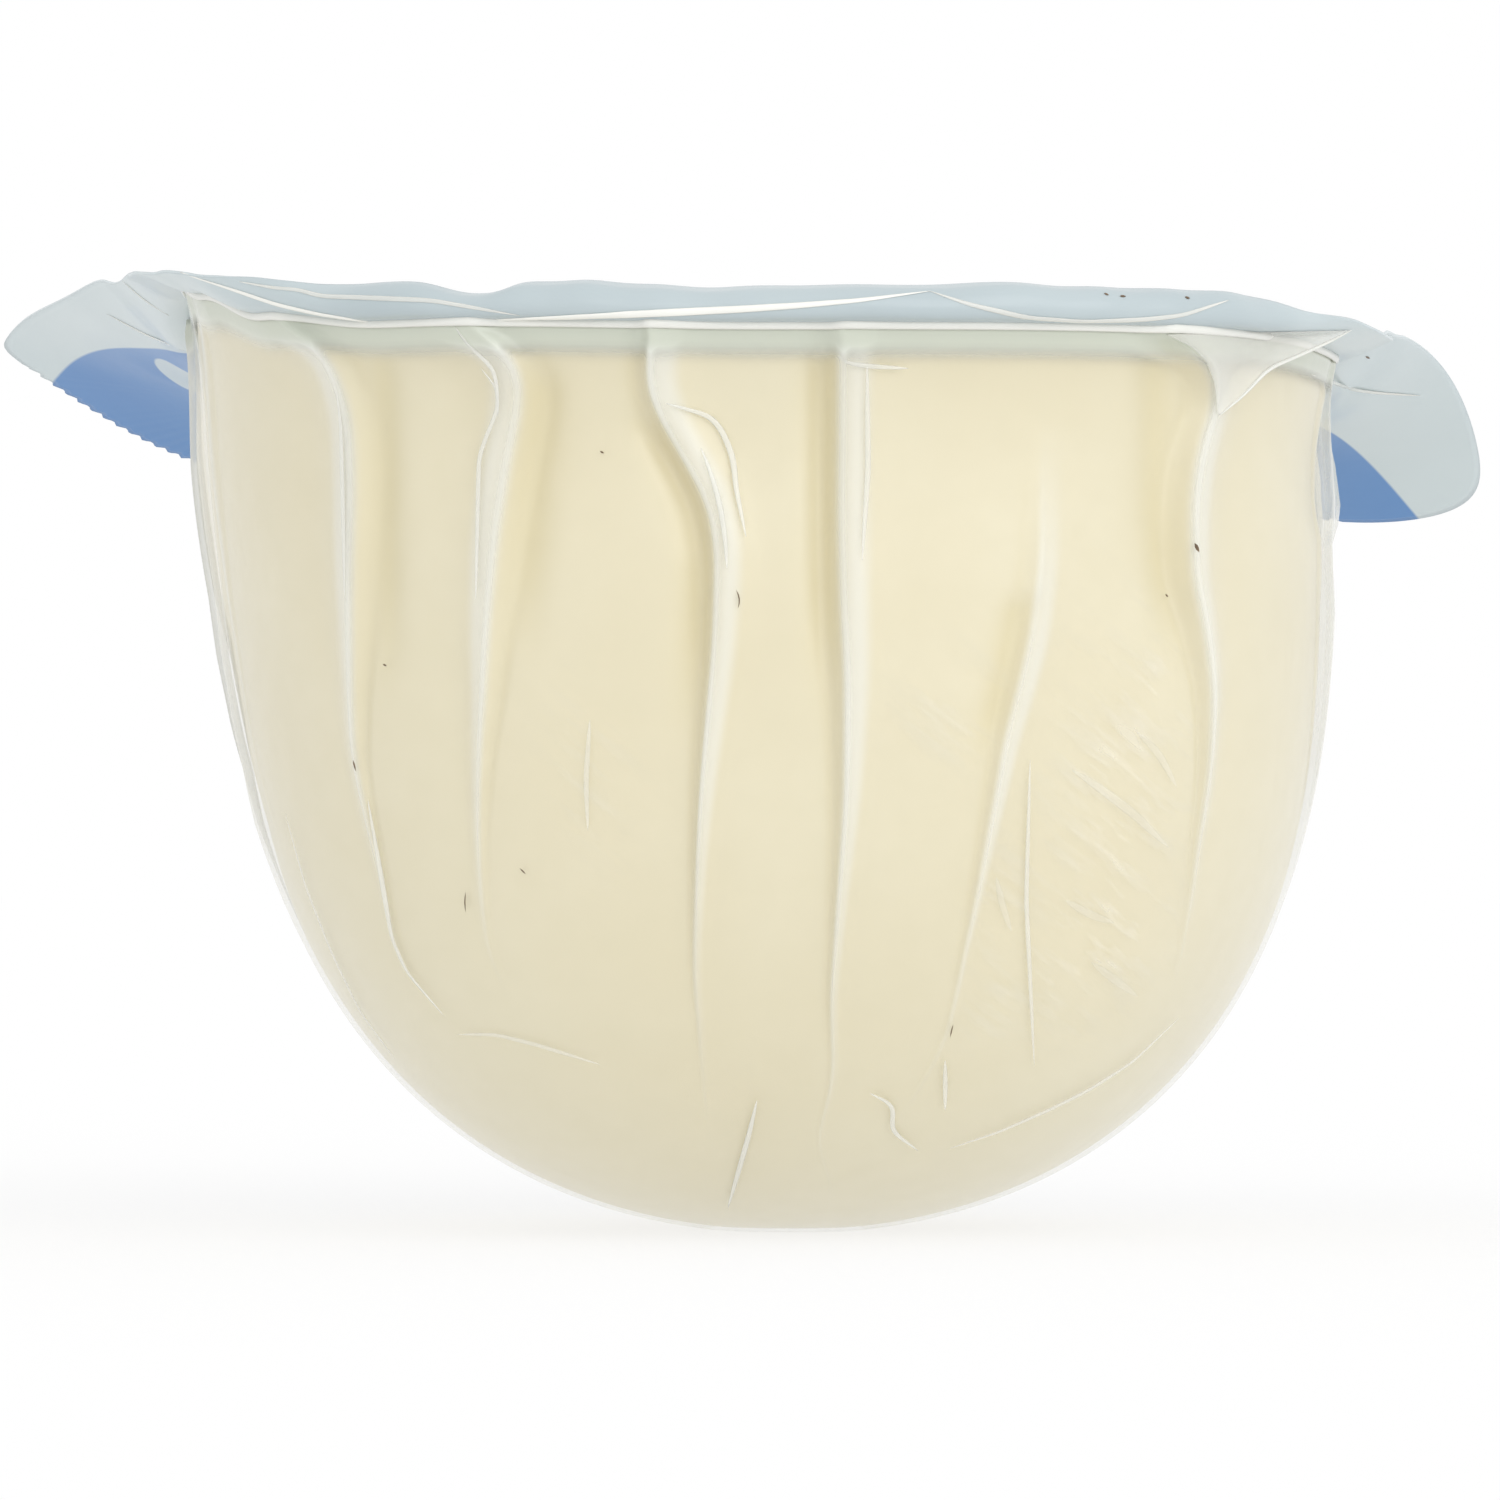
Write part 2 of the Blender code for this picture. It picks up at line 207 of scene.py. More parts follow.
def seen_on(tree, picture_points):
    """Where rays from the camera through picture points meet a piece, and its normals there."""
    places, normals = [], []
    origin = Vector(camera.location)
    for seen_x, seen_y in picture_points:
        across = (seen_x - SEEN_CENTRE_X) / FOCUS * CAMERA_AWAY - camera_side
        ray = Vector((across, CAMERA_AWAY, (SEEN_HORIZON - seen_y) / FOCUS * CAMERA_AWAY))
        place, normal, _, _ = tree.ray_cast(origin, ray.normalized())
        if place is not None:
            places.append(place)
            normals.append(normal if normal.dot(ray) < 0 else -normal)
    return np.array(places), np.array(normals)

# %% [markdown]
# ## Pleats
#
# A pleat is a ridge that runs from the rim towards the foot and fades out on the way.  One side of
# it is steep, with a shadowed valley at its foot, and the other eases back into the dome.  Each is
# a path, a height, two widths (a wide and a steep flank) and the side on which the valley lies.
# The front ones are placed one by one, and the back ones by a seeded draw, as they fall by chance.

# %% Front pleats: picture points from the rim down, height and easy flank in mm, steep side
FRONT_PLEATS = (
    (((255, 298), (273, 311), (306, 330), (328, 350), (345, 384), (355, 425), (358, 500), (356, 650),
      (358, 760), (380, 870), (408, 985)), 1.0, 2.6, 1),
    (((466, 328), (494, 339), (512, 354), (521, 373), (523, 398), (518, 428), (512, 457), (507, 489),
      (500, 537), (494, 600), (487, 700), (480, 850), (488, 950), (505, 990)), 1.1, 2.6, 1),
    (((655, 335), (651, 360), (651, 382), (656, 402), (666, 424), (679, 448), (694, 472), (708, 500),
      (716, 530), (718, 570), (715, 650), (709, 720), (702, 800), (697, 900), (695, 980), (700, 1037),
      (705, 1096), (710, 1140)), 1.2, 2.2, -1),
    (((842, 340), (841, 420), (840, 520), (842, 600), (846, 680), (845, 800), (838, 900), (831, 1000),
      (833, 1086), (820, 1126), (817, 1155), (834, 1195)), 1.1, 2.5, -1),
    (((1044, 440), (1041, 560), (1030, 640), (1005, 740), (985, 850), (965, 950), (945, 1040),
      (925, 1080), (893, 1130)), 0.55, 1.8, -1),
    (((1154, 323), (1168, 334), (1191, 345), (1204, 360), (1209, 380), (1208, 403), (1201, 427),
      (1194, 450), (1189, 482), (1187, 520), (1189, 575), (1200, 633), (1207, 690), (1206, 770),
      (1196, 850), (1185, 930), (1173, 990)), 1.2, 2.4, -1),
)
FRONT_VALLEYS = (
    (((374, 350), (380, 420), (382, 560), (386, 680)), -0.5, 1.5),
    (((540, 370), (540, 420), (532, 480), (526, 560), (520, 640)), -0.5, 1.6),
    (((646, 420), (668, 460), (690, 505), (700, 560), (697, 640), (690, 720)), -0.6, 1.4),
    (((826, 345), (826, 460), (826, 600), (828, 700)), -0.7, 1.3),
    (((1163, 345), (1162, 420), (1163, 520), (1171, 600), (1182, 670)), -0.7, 1.9),
    (((1022, 600), (1004, 680), (985, 760)), -0.3, 1.2),
)
SIDE_PLEATS = ((74.0, 0.32, 0.35, 2.2, -1), (289.0, 0.36, 0.2, 2.0, 1))
BACK_PLEATS = 12
BACK_FROM, BACK_TO = 104.0, 262.0
BACK_FEET, BACK_HEIGHTS, BACK_FLANKS = (0.1, 0.34), (0.9, 1.6), (1.8, 2.6)
PLEAT_SEED = 4
PATH_STEPS = 80


def front_paths(rows):
    """Each path of picture points as even levels with a bearing at each, then its other values."""
    made = []
    for points, height, flank, *steep in rows:
        bearing, level = seen_at(points)
        order = np.argsort(-level)
        steps = np.linspace(level.max(), level.min(), PATH_STEPS)
        path = np.interp(-steps, -level[order], bearing[order])
        path = np.convolve(np.pad(path, 2, mode="edge"), np.ones(5) / 5, mode="valid")
        made.append((steps, path, height * MM, flank * MM, *steep))
    return made


def drifting_paths():
    """The side and back pleats: bearings that drift a little on the way down."""
    draw = np.random.default_rng(PLEAT_SEED)
    rows = list(SIDE_PLEATS)
    step = (BACK_TO - BACK_FROM) / (BACK_PLEATS - 1)
    for k in range(BACK_PLEATS):
        bearing = BACK_FROM + k * step + draw.uniform(-0.22, 0.22) * step
        steep = 1 if draw.random() < 0.5 else -1
        foot, height, flank = (draw.uniform(*limits) for limits in (BACK_FEET, BACK_HEIGHTS, BACK_FLANKS))
        rows.append((bearing, foot, height, flank, steep))
    made = []
    for bearing, foot, height, flank, steep in rows:
        steps = np.linspace(1.0, foot, PATH_STEPS)
        down = np.linspace(0, 1, PATH_STEPS)
        knots = np.cumsum(draw.uniform(-1.5, 1.5, 5))
        wiggle = np.interp(down, np.linspace(0, 1, 5), knots)
        wiggle = np.convolve(np.pad(wiggle, 6, mode="edge"), np.ones(13) / 13, mode="valid")
        made.append((steps, bearing + wiggle, height * MM, flank * MM, steep))
    return made


pleats = front_paths(FRONT_PLEATS) + drifting_paths()
valleys = front_paths(FRONT_VALLEYS)
print("pleats:", len(pleats), "valleys:", len(valleys))


# %% What the pleats do to the surface
def turned(bearing, centre):
    """Difference of two bearings, brought into the half turn either side of zero."""
    return (bearing - centre + 180) % 360 - 180


STEEP_SHARE = 0.3                   # width of the steep flank, as a share of the easy one
DIP_AT, DIP_WIDE, DIP_DEEP = 0.6, 0.3, 0.15     # the dip beyond it: its place, width and depth
FOOT_NARROW = 0.28                  # width at the foot of a pleat, as a share of that at its top
LATE_START = 0.95                   # a pleat that starts below this level grows in slowly


def pleat_relief(bearing, level, sharp=0.0):
    """Sum over the pleats of height x fade x flank(u), with u the distance square to the crest.
    The flank is a bell, narrower on the steep side, with a dip beyond it, and the whole section
    narrows on the way down.  sharp adds a thin crest line.  Also returns how strongly each point
    lies on a crest line, on the raised band beside it and in a valley, each from 0 to 1."""
    relief, crest, band, valley = np.zeros((4, *bearing.shape))
    arc = np.radians(1.0) * DOME_WIDTH / 2
    for steps, path, height, flank, steep in pleats:
        centre = np.interp(-level, -steps, path)
        sideways = np.gradient(path) * arc / (np.gradient(steps) * DOME_HEIGHT)
        square = 1 / np.sqrt(1 + np.interp(-level, -steps, sideways) ** 2)
        offset = turned(bearing, centre) * arc * steep * square
        down = np.clip((steps[0] - level) / (steps[0] - steps[-1]), -0.2, 1.2)
        run_in = 0.07 if steps[0] > LATE_START else 0.4
        start = smooth((down + 0.05) / run_in)
        fade = smooth((1.02 - down) / 0.7) * start
        wide = flank * (FOOT_NARROW + (1 - FOOT_NARROW) * smooth((0.8 - down) / 0.6))
        side = np.where(offset > 0, STEEP_SHARE * wide, wide)
        dip = np.exp(-(((offset - DIP_AT * wide) / (DIP_WIDE * wide)) ** 2))
        line = np.exp(-((offset / (0.1 * wide + 0.05 * MM)) ** 2))
        section = (1 - DIP_DEEP) * np.exp(-((offset / side) ** 2)) - DIP_DEEP * dip + sharp * line
        relief += height * fade * section
        crest = np.maximum(crest, line * start * smooth((1.05 - down) / 0.35) * min(height / MM, 1))
        inside = smooth((offset / wide + 1.0) / 0.6) * smooth((0.2 - offset / wide) / 0.25)
        band = np.maximum(band, inside * fade)
        valley = np.maximum(valley, 0.5 * dip * fade)
    for steps, path, height, flank in valleys:
        offset = turned(bearing, np.interp(-level, -steps, path)) * arc
        down = (steps[0] - level) / (steps[0] - steps[-1])
        hollow = np.exp(-((offset / flank) ** 2)) * smooth((down + 0.1) / 0.2) * smooth((1.15 - down) / 0.5)
        relief += height * hollow
        valley = np.maximum(valley, hollow)
    return relief, crest, band * (1 - valley), valley


# %% [markdown]
# ## Turning a grid into a mesh
#
# All the surfaces share one helper.  It takes a grid of points, with the columns going once round,
# and closes it: the last column joins the first, and a pole point closes each end.  Working on
# whole arrays keeps this fast, so the grids can be fine enough for creases half a millimetre wide.

# %% Mesh helper
def closed_faces(rows, columns, first):
    """Corners and face sizes of one closed grid whose points start at a number: quads between the
    rows, and a fan round each of the two poles that follow the grid's own points."""
    here = np.arange(columns)
    after = (here + 1) % columns
    low = np.arange(rows - 1)[:, None] * columns
    quads = np.stack([low + here, low + after, low + columns + after, low + columns + here], axis=-1)
    start = rows * columns
    top = (rows - 1) * columns
    bottom_fan = np.stack([np.full(columns, start), after, here], axis=-1)
    top_fan = np.stack([top + here, top + after, np.full(columns, start + 1)], axis=-1)
    corners = np.concatenate([quads.reshape(-1), bottom_fan.reshape(-1), top_fan.reshape(-1)])
    return corners + first, np.concatenate([np.full(quads.size // 4, 4), np.full(2 * columns, 3)])


def closed_surface(name, grids, finish, node, layers=None, uv=None):
    """One mesh of closed grids, each given as rows x columns x 3 points, a first and a last pole.
    layers holds a value for each point of each grid, and uv the flat place of the one grid."""
    points, corners, sizes = [], [], []
    for grid, first_pole, last_pole in grids:
        rows, columns, _ = grid.shape
        loops, counts = closed_faces(rows, columns, sum(len(p) for p in points))
        points.append(np.vstack([grid.reshape(-1, 3), [first_pole], [last_pole]]))
        corners.append(loops)
        sizes.append(counts)
    points, corners, sizes = np.vstack(points), np.concatenate(corners), np.concatenate(sizes)
    mesh = bpy.data.meshes.new(name)
    mesh.vertices.add(len(points))
    mesh.vertices.foreach_set("co", points.astype(np.float32).reshape(-1))
    mesh.loops.add(len(corners))
    mesh.loops.foreach_set("vertex_index", corners.astype(np.int32))
    mesh.polygons.add(len(sizes))
    starts = np.concatenate([[0], np.cumsum(sizes)[:-1]])
    mesh.polygons.foreach_set("loop_start", starts.astype(np.int32))
    mesh.update(calc_edges=True)
    mesh.validate()
    for label, values in (layers or {}).items():
        layer = mesh.attributes.new(label, "FLOAT", "POINT")
        flat = np.concatenate([np.append(v.reshape(-1), [v[0].mean(), v[-1].mean()]) for v in values])
        layer.data.foreach_set("value", flat.astype(np.float32))
    if uv is not None:
        flat = np.vstack([uv.reshape(-1, 2), [uv[0].mean(axis=0)], [uv[-1].mean(axis=0)]])
        flat = flat[corners].astype(np.float32)
        mesh.uv_layers.new(name="film").uv.foreach_set("vector", flat.reshape(-1))
    mesh.materials.append(finish)
    mesh.shade_smooth()
    made = bpy.data.objects.new(name, mesh)
    bpy.context.scene.collection.objects.link(made)
    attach(made, "root")
    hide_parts(node)
    print(name, "has", len(points), "points and", int((sizes - 2).sum()), "triangles")
    return made


# %% [markdown]
# ## Finishes
#
# Each finish is a small network of nodes on one Principled shader.  A helper keeps them short: it
# adds a node, sets what it is given and links what it is told to.  Values that are the same all
# over a surface go straight into the shader's own sockets.

# %% Node helpers
def new_finish(name):
    """An empty material with its Principled shader and output ready."""
    made = bpy.data.materials.new(name)
    made.use_nodes = True
    return made, made.node_tree, made.node_tree.nodes["Principled BSDF"]


def fill(tree, node, inputs):
    """Each named input of a node linked, if it is given a socket, or else set to the value."""
    for key, value in inputs.items():
        if isinstance(value, bpy.types.NodeSocket):
            tree.links.new(value, node.inputs[key])
        else:
            node.inputs[key].default_value = value
    return node


def add(tree, kind, inputs=None, **settings):
    """One new node with its settings and its inputs."""
    node = tree.nodes.new(kind)
    for key, value in settings.items():
        setattr(node, key, value)
    return fill(tree, node, inputs or {})


def mixed(tree, factor, first, second):
    """The first colour turned into the second by a factor; each may be a value or a socket."""
    inputs = {0: factor, 6: first, 7: second}
    return add(tree, "ShaderNodeMix", inputs, data_type="RGBA", blend_type="MIX").outputs[2]


def remapped(tree, value, low, high, to_low=0.0, to_high=1.0):
    """A value moved from one range to another and held inside it."""
    inputs = {0: value, 1: low, 2: high, 3: to_low, 4: to_high}
    return add(tree, "ShaderNodeMapRange", inputs).outputs[0]


def maths(tree, operation, first, second=0.0):
    """One sum of two numbers."""
    return add(tree, "ShaderNodeMath", {0: first, 1: second}, operation=operation).outputs[0]


def noise(tree, vector, scale, detail=2.0, rough=0.5):
    """Soft noise on a vector."""
    inputs = {"Vector": vector, "Scale": scale, "Detail": detail, "Roughness": rough}
    return add(tree, "ShaderNodeTexNoise", inputs).outputs[0]


def weighed(tree, *terms):
    """A sum of values, each times its weight."""
    made = None
    for value, weight in terms:
        part = maths(tree, "MULTIPLY", value, weight)
        made = part if made is None else maths(tree, "ADD", made, part)
    return made


def on_object(tree):
    """The point's own place on the object, which patterns that run through it read."""
    return add(tree, "ShaderNodeTexCoord").outputs["Object"]


def attribute(tree, name):
    """The value that a mesh carries at each point under a name."""
    return add(tree, "ShaderNodeAttribute", attribute_name=name).outputs["Fac"]


def mapped(tree, vector, **change):
    """A vector turned (Rotation) or scaled (Scale), which slants or stretches a pattern."""
    return add(tree, "ShaderNodeMapping", {"Vector": vector, **change}).outputs[0]


def bumped(tree, height, strength, distance):
    """A normal tilted as if the surface rose by the height times the distance."""
    inputs = {"Height": height, "Strength": strength, "Distance": distance}
    return add(tree, "ShaderNodeBump", inputs).outputs[0]


def see_through(tree, cover, shader):
    """The shader where cover is 1 and clear where it is 0, as the material's surface."""
    clear = add(tree, "ShaderNodeBsdfTransparent")
    mix = add(tree, "ShaderNodeMixShader", {0: cover, 1: clear.outputs[0], 2: shader.outputs[0]})
    fill(tree, tree.nodes["Material Output"], {"Surface": mix.outputs[0]})


def srgb(red, green, blue):
    """A screen colour of 0 to 255 turned into the linear numbers that shaders use."""
    share = np.array([red, green, blue]) / 255
    linear = np.where(share <= 0.04045, share / 12.92, ((share + 0.055) / 1.055) ** 2.4)
    return (*(float(v) for v in linear), 1.0)


# %% [markdown]
# ### Cheese under film
#
# Fresh stretched curd is cream coloured and lets light a few millimetres in, so shadows in the
# valleys turn yellow and not grey.  Subsurface scattering does that, but under a clear film it takes
# a third more time for hardly any difference, so that yellow shade is painted into the valleys
# instead, as painted shade.  The band beside each crest is painted paler, partly as the whiter
# doubled film and partly as a painted highlight.  The film clings so tightly that it works as a
# varnish: a coat on the cheese gives its soft shine, and noise in the bump gives the tiny wrinkles
# of shrunken film.

# %% Cheese finish
def cheese_finish():
    """Two creams mottled by noise, with yellower painted shade in the valleys and a paler band by the
    crests, partly doubled film and partly painted highlight.
    """
    made, tree, shader = new_finish("cream_cheese")
    place = on_object(tree)
    cloud = remapped(tree, noise(tree, place, 55.0, 3.0), 0.35, 0.65)
    grain = remapped(tree, noise(tree, place, 420.0, 4.0, 0.6), 0.3, 0.7)
    cream = mixed(tree, cloud, srgb(219, 210, 180), srgb(222, 214, 186))
    for factor, share, tint in ((grain, 0.35, srgb(216, 208, 178)),
                                # painted shade: the valleys tinted yellower where shadow falls
                                (attribute(tree, "valley"), 0.75, srgb(216, 205, 166)),
                                # partly the whiter doubled film, partly a painted highlight: the band by each
                                # crest is paler
                                (attribute(tree, "band"), 0.85, srgb(233, 230, 216))):
        cream = mixed(tree, maths(tree, "MULTIPLY", factor, share), cream, tint)
    wrinkle = noise(tree, mapped(tree, place, Scale=(1.0, 1.0, 0.45)), 200.0, 3.0, 0.55)
    fill(tree, shader, {
        "Base Color": cream,
        "Roughness": remapped(tree, grain, 0.0, 1.0, 0.42, 0.55),
        "Normal": bumped(tree, cloud, 0.3, 0.6 * MM),
        "Coat Weight": 0.55,
        "Coat Roughness": 0.2,
        "Coat Normal": bumped(tree, wrinkle, 0.12, 0.2 * MM),
    })
    return made


# %% [markdown]
# ### Clear film
#
# Clear film shows in two ways: it turns milky where it is creased, doubled or finely crinkled, and
# it reflects more at a glancing angle.  The milky crest lines and bands on the pleats are partly a
# painted highlight, and the paler crinkled streaks are partly a painted sheen of glossy wrinkles.
# Glass would need light bent twice through a wall thinner than a hair.  A mix between a Transparent
# shader and a pale glossy one is simpler and does both: its factor adds up attributes of the mesh,
# slanted streaks of noise and a Layer Weight.

# %% Clear film finish
CRINKLE_SLANT = math.radians(-38)       # fine crinkles fall from left to right
CRINKLE_STRETCH = (0.16, 0.3, 1.0)      # long along the slant, short across it
BARE_COVER, FULL_COVER = 0.03, 0.9      # even clear film shows a little, and milky film isn't solid


def clear_film_finish():
    """Transparent, turning milky along creases, partly as a painted highlight on the crests, in paler
    slanted streaks where the film is crinkled, partly a painted sheen, and where the surface is seen
    edge on."""
    made, tree, shader = new_finish("clear_film")
    place = on_object(tree)
    milk, crinkle_and_sheen = attribute(tree, "milk"), attribute(tree, "crinkle_and_sheen")
    # partly painted sheen: crinkled patches turn paler, for glints on glossy wrinkles as well as milky film
    pale = mixed(tree, crinkle_and_sheen, srgb(230, 231, 225), srgb(252, 249, 236))
    wrinkle = noise(tree, mapped(tree, place, Scale=(1.0, 1.0, 0.5)), 220.0, 3.0, 0.5)
    slanted = mapped(tree, mapped(tree, place, Rotation=(0, CRINKLE_SLANT, 0)), Scale=CRINKLE_STRETCH)
    streaks = remapped(tree, noise(tree, slanted, 800.0, 2.0, 0.55), 0.48, 0.68)
    folds_and_sheen = maths(tree, "MULTIPLY", crinkle_and_sheen, streaks)
    fill(tree, shader, {
        "Base Color": mixed(tree, milk, pale, srgb(206, 211, 196)),
        "Roughness": 0.16,
        "Specular IOR Level": 0.8,
        "Normal": bumped(tree, weighed(tree, (wrinkle, 1.0), (folds_and_sheen, 1.5)), 0.25, 0.3 * MM),
    })
    edge = add(tree, "ShaderNodeLayerWeight", {"Blend": 0.35}).outputs["Facing"]
    edge = maths(tree, "POWER", edge, 2.0)
    loose = maths(tree, "MINIMUM", attribute(tree, "slack"), 1.0)
    # crest and band cover: partly milky doubled film, partly a painted highlight along the pleats
    cover = weighed(tree, (attribute(tree, "crest"), 0.35), (edge, 0.45), (attribute(tree, "band"), 0.2),
                    (milk, 0.85), (loose, 0.26), (folds_and_sheen, 0.34))
    see_through(tree, maths(tree, "MINIMUM", maths(tree, "ADD", cover, BARE_COVER), FULL_COVER), shader)
    return made


# %% [markdown]
# ### Creased film
#
# Where the film is doubled, pinched or hangs loose it's whiter than where it clings, and on the
# creases this white is partly a painted highlight, the bright line where a crease catches the light.
# The ridges and the loose flap share this finish, and an attribute says how much each of them covers.

# %% Creased film finish
def creased_film_highlight_finish():
    """Part transparent, part pale and glossy; the attribute cover is the pale share, partly doubled film
    and partly painted highlight.
    """
    made, tree, shader = new_finish("creased_film_highlight")
    # partly the whiter doubled film, partly a painted highlight where creases catch the light
    pale = mixed(tree, noise(tree, on_object(tree), 150.0), srgb(234, 234, 228), srgb(246, 246, 240))
    fill(tree, shader, {"Base Color": pale, "Roughness": 0.2})
    see_through(tree, attribute(tree, "cover"), shader)
    return made


# %% [markdown]
# ### Specks
#
# A packed cheese picks up crumbs and fibres in handling.  They are dark, dry and a fraction of a
# millimetre across, so one uneven brown without gloss is enough.

# %% Speck finish
def speck_finish():
    """Dark brown specks and fibres, uneven in tone."""
    made, tree, shader = new_finish("speck")
    tone = mixed(tree, noise(tree, on_object(tree), 900.0), srgb(70, 60, 52), srgb(130, 104, 74))
    fill(tree, shader, {"Base Color": tone, "Roughness": 0.6})
    return made


# %% [markdown]
# ### Printed lid film
#
# The lid is printed on its inner face, so the print shows through the clear film from below as
# well as from above.  It has a pale grey-blue ground, one large field of mid blue towards the back
# edge and a pale spot on it.  The pattern is drawn on the film's own flat coordinates, in metres, so
# it bends with the flange.  Where the strip curls, light passes through it, and that is painted in as
# painted shade: a darker, duller grey-blue.

# %% Printed film finish
BLUE_FRONT = 18.0 * MM              # the field's front edge, from the middle of the lid
BLUE_SIDES = ((2.66, 96.3 * MM), (-1.9, 45.6 * MM))     # slope and offset of its slanted sides
BLUE_ROUND = 5.0 * MM               # how softly its corners turn
INK_EDGE = 0.1 * MM                 # the ink thins out over this much either side
SPOT_CENTRE = (-45.6 * MM, 37.5 * MM)
SPOT_HALF = (2.4 * MM, 6.0 * MM)


def blue_field(tree, across, along):
    """1 on the blue: where v is past the front edge and v + slope u + offset is above zero for both
    sides, the least of the three smoothed, and outside a pale ellipse."""
    inside = maths(tree, "SUBTRACT", along, BLUE_FRONT)
    for slope, offset in BLUE_SIDES:
        side = maths(tree, "ADD", maths(tree, "MULTIPLY", across, slope), offset)
        side = maths(tree, "DIVIDE", maths(tree, "ADD", side, along), math.hypot(slope, 1))
        inputs = {0: inside, 1: side, 2: BLUE_ROUND}
        inside = add(tree, "ShaderNodeMath", inputs, operation="SMOOTH_MIN").outputs[0]
    from_spot = [maths(tree, "DIVIDE", maths(tree, "SUBTRACT", at, centre), half)
                 for at, centre, half in zip((across, along), SPOT_CENTRE, SPOT_HALF)]
    ring = maths(tree, "ADD", *(maths(tree, "POWER", value, 2.0) for value in from_spot))
    field = remapped(tree, inside, -INK_EDGE, INK_EDGE)
    return maths(tree, "MULTIPLY", field, remapped(tree, ring, 0.9, 1.05))


def printed_film_finish():
    """A pale ground with the blue field on it, and painted shade, a darker grey-blue, in the strip that
    curls.
    """
    made, tree, shader = new_finish("printed_film")
    place = on_object(tree)
    flat = add(tree, "ShaderNodeUVMap", uv_map="film").outputs[0]
    split = add(tree, "ShaderNodeSeparateXYZ", {0: flat})
    ground = mixed(tree, noise(tree, place, 90.0), srgb(192, 203, 206), srgb(201, 212, 214))
    ink = mixed(tree, noise(tree, place, 70.0), srgb(80, 128, 184), srgb(92, 138, 191))
    streaks = noise(tree, mapped(tree, place, Scale=(0.3, 1.0, 1.0)), 200.0)
    # painted shade: the curled strip coloured darker, where light passes through it
    painted_strip_shade = mixed(tree, streaks, srgb(172, 184, 188), srgb(186, 197, 200))
    colour = mixed(tree, blue_field(tree, split.outputs[0], split.outputs[1]), ground, ink)
    fill(tree, shader, {
        "Base Color": mixed(tree, attribute(tree, "strip"), colour, painted_strip_shade),
        "Roughness": 0.35,
        "Specular IOR Level": 0.35,
        "Coat Weight": 0.15,
        "Coat Roughness": 0.12,
        "Normal": bumped(tree, noise(tree, place, 120.0, 3.0), 0.25, 0.4 * MM),
    })
    return made


cheese_look = cheese_finish()
film_look = clear_film_finish()
crease_highlight_look = creased_film_highlight_finish()
speck_look = speck_finish()
print_look = printed_film_finish()
print("finishes:", [m.name for m in (cheese_look, film_look, crease_highlight_look, speck_look, print_look)])

# %% [markdown]
# ## The cheese
#
# The cheese fills the film to a fraction of a millimetre, so its surface carries the same pleats,
# only softer.  Its top edge is rounded, which leaves a thin wedge of air between cheese, clear film
# and lid.  Columns are closer together in front, where the pleats are placed one by one.

# %% Grid of bearings and levels
FRONT_COLUMNS = 440
BACK_COLUMNS = 120
SIDE_ROWS = 165
SIDES_AT = 92.0         # the front columns reach from this bearing on the left to this on the right
CROWD = 1.6             # how many more columns run along a pleat than between two
CROWD_HALF = 3.5        # how far to either side of it, in degrees
crests = [(steps, path) for steps, path, _, _, _ in pleats[:len(FRONT_PLEATS)]]
crests_at = np.array([path[len(path) // 2] for _, path in crests])


def front_spread():
    """Front bearings, closer together where the pleats are: even steps of a sum of bells."""
    fine = np.linspace(-SIDES_AT, SIDES_AT, 2000)
    weight = 1 + sum(CROWD * np.exp(-(((fine - at) / CROWD_HALF) ** 2)) for at in crests_at)
    run = np.concatenate([[0], np.cumsum((weight[1:] + weight[:-1]) / 2)])
    return np.interp(np.linspace(0, run[-1], FRONT_COLUMNS, endpoint=False), run, fine)


def along_pleats(level):
    """Bearings of the columns at each level: the front ones are shifted so that the columns at the
    pleats run along their crests, and no crest crosses the grid at a slant."""
    known = np.array([-SIDES_AT, *crests_at, SIDES_AT])
    rows = []
    for at in level:
        now = [float(np.interp(-at, -steps, path)) for steps, path in crests]
        rows.append(np.append(np.interp(front_at, known, [-SIDES_AT, *now, SIDES_AT]), back_at))
    return np.array(rows)


front_at = front_spread()
back_at = np.linspace(SIDES_AT, 360 - SIDES_AT, BACK_COLUMNS, endpoint=False)


def even_levels(count):
    """Levels along the dome's side, from the edge of the foot to the top, closer near the top:
    the share of the way up is 0.6 t + 0.4 (1 - (1 - t)^2)."""
    level = np.linspace(0, 1, 4000) ** 2
    radius = side_share(level) * DOME_WIDTH / 2
    run = np.concatenate([[0], np.cumsum(np.hypot(np.diff(radius), np.diff(level) * DOME_HEIGHT))])
    even = np.linspace(0, 1, count)
    return np.interp((0.6 * even + 0.4 * (1 - (1 - even) ** 2)) * run[-1], run, level)


def placed(bearing_turn, radius, height):
    """Points at a turn, a radius and a height: x = r sin b, y = -r cos b, z = h."""
    return np.stack([radius * np.sin(bearing_turn), -radius * np.cos(bearing_turn), height], axis=-1)


def foot_rings(edge, shares):
    """Rings shrunk towards the axis, on the flat spot that the dome rests on."""
    return np.stack([edge * [share, share, 1] for share in shares])


def lid_rings(edge, shares):
    """Rings shrunk towards the axis under the lid: the rim's rise falls off with the square of the
    share, as it does on the lid, so nothing comes through it."""
    rise = rim_rise(np.degrees(np.arctan2(edge[:, 0], -edge[:, 1])))
    drop = np.stack([0 * rise, 0 * rise, rise], axis=-1)
    return np.stack([edge * [share, share, 1] - drop * (1 - share**2) for share in shares])


levels = even_levels(SIDE_ROWS)
bearings = along_pleats(levels)
print("rows and columns:", bearings.shape)


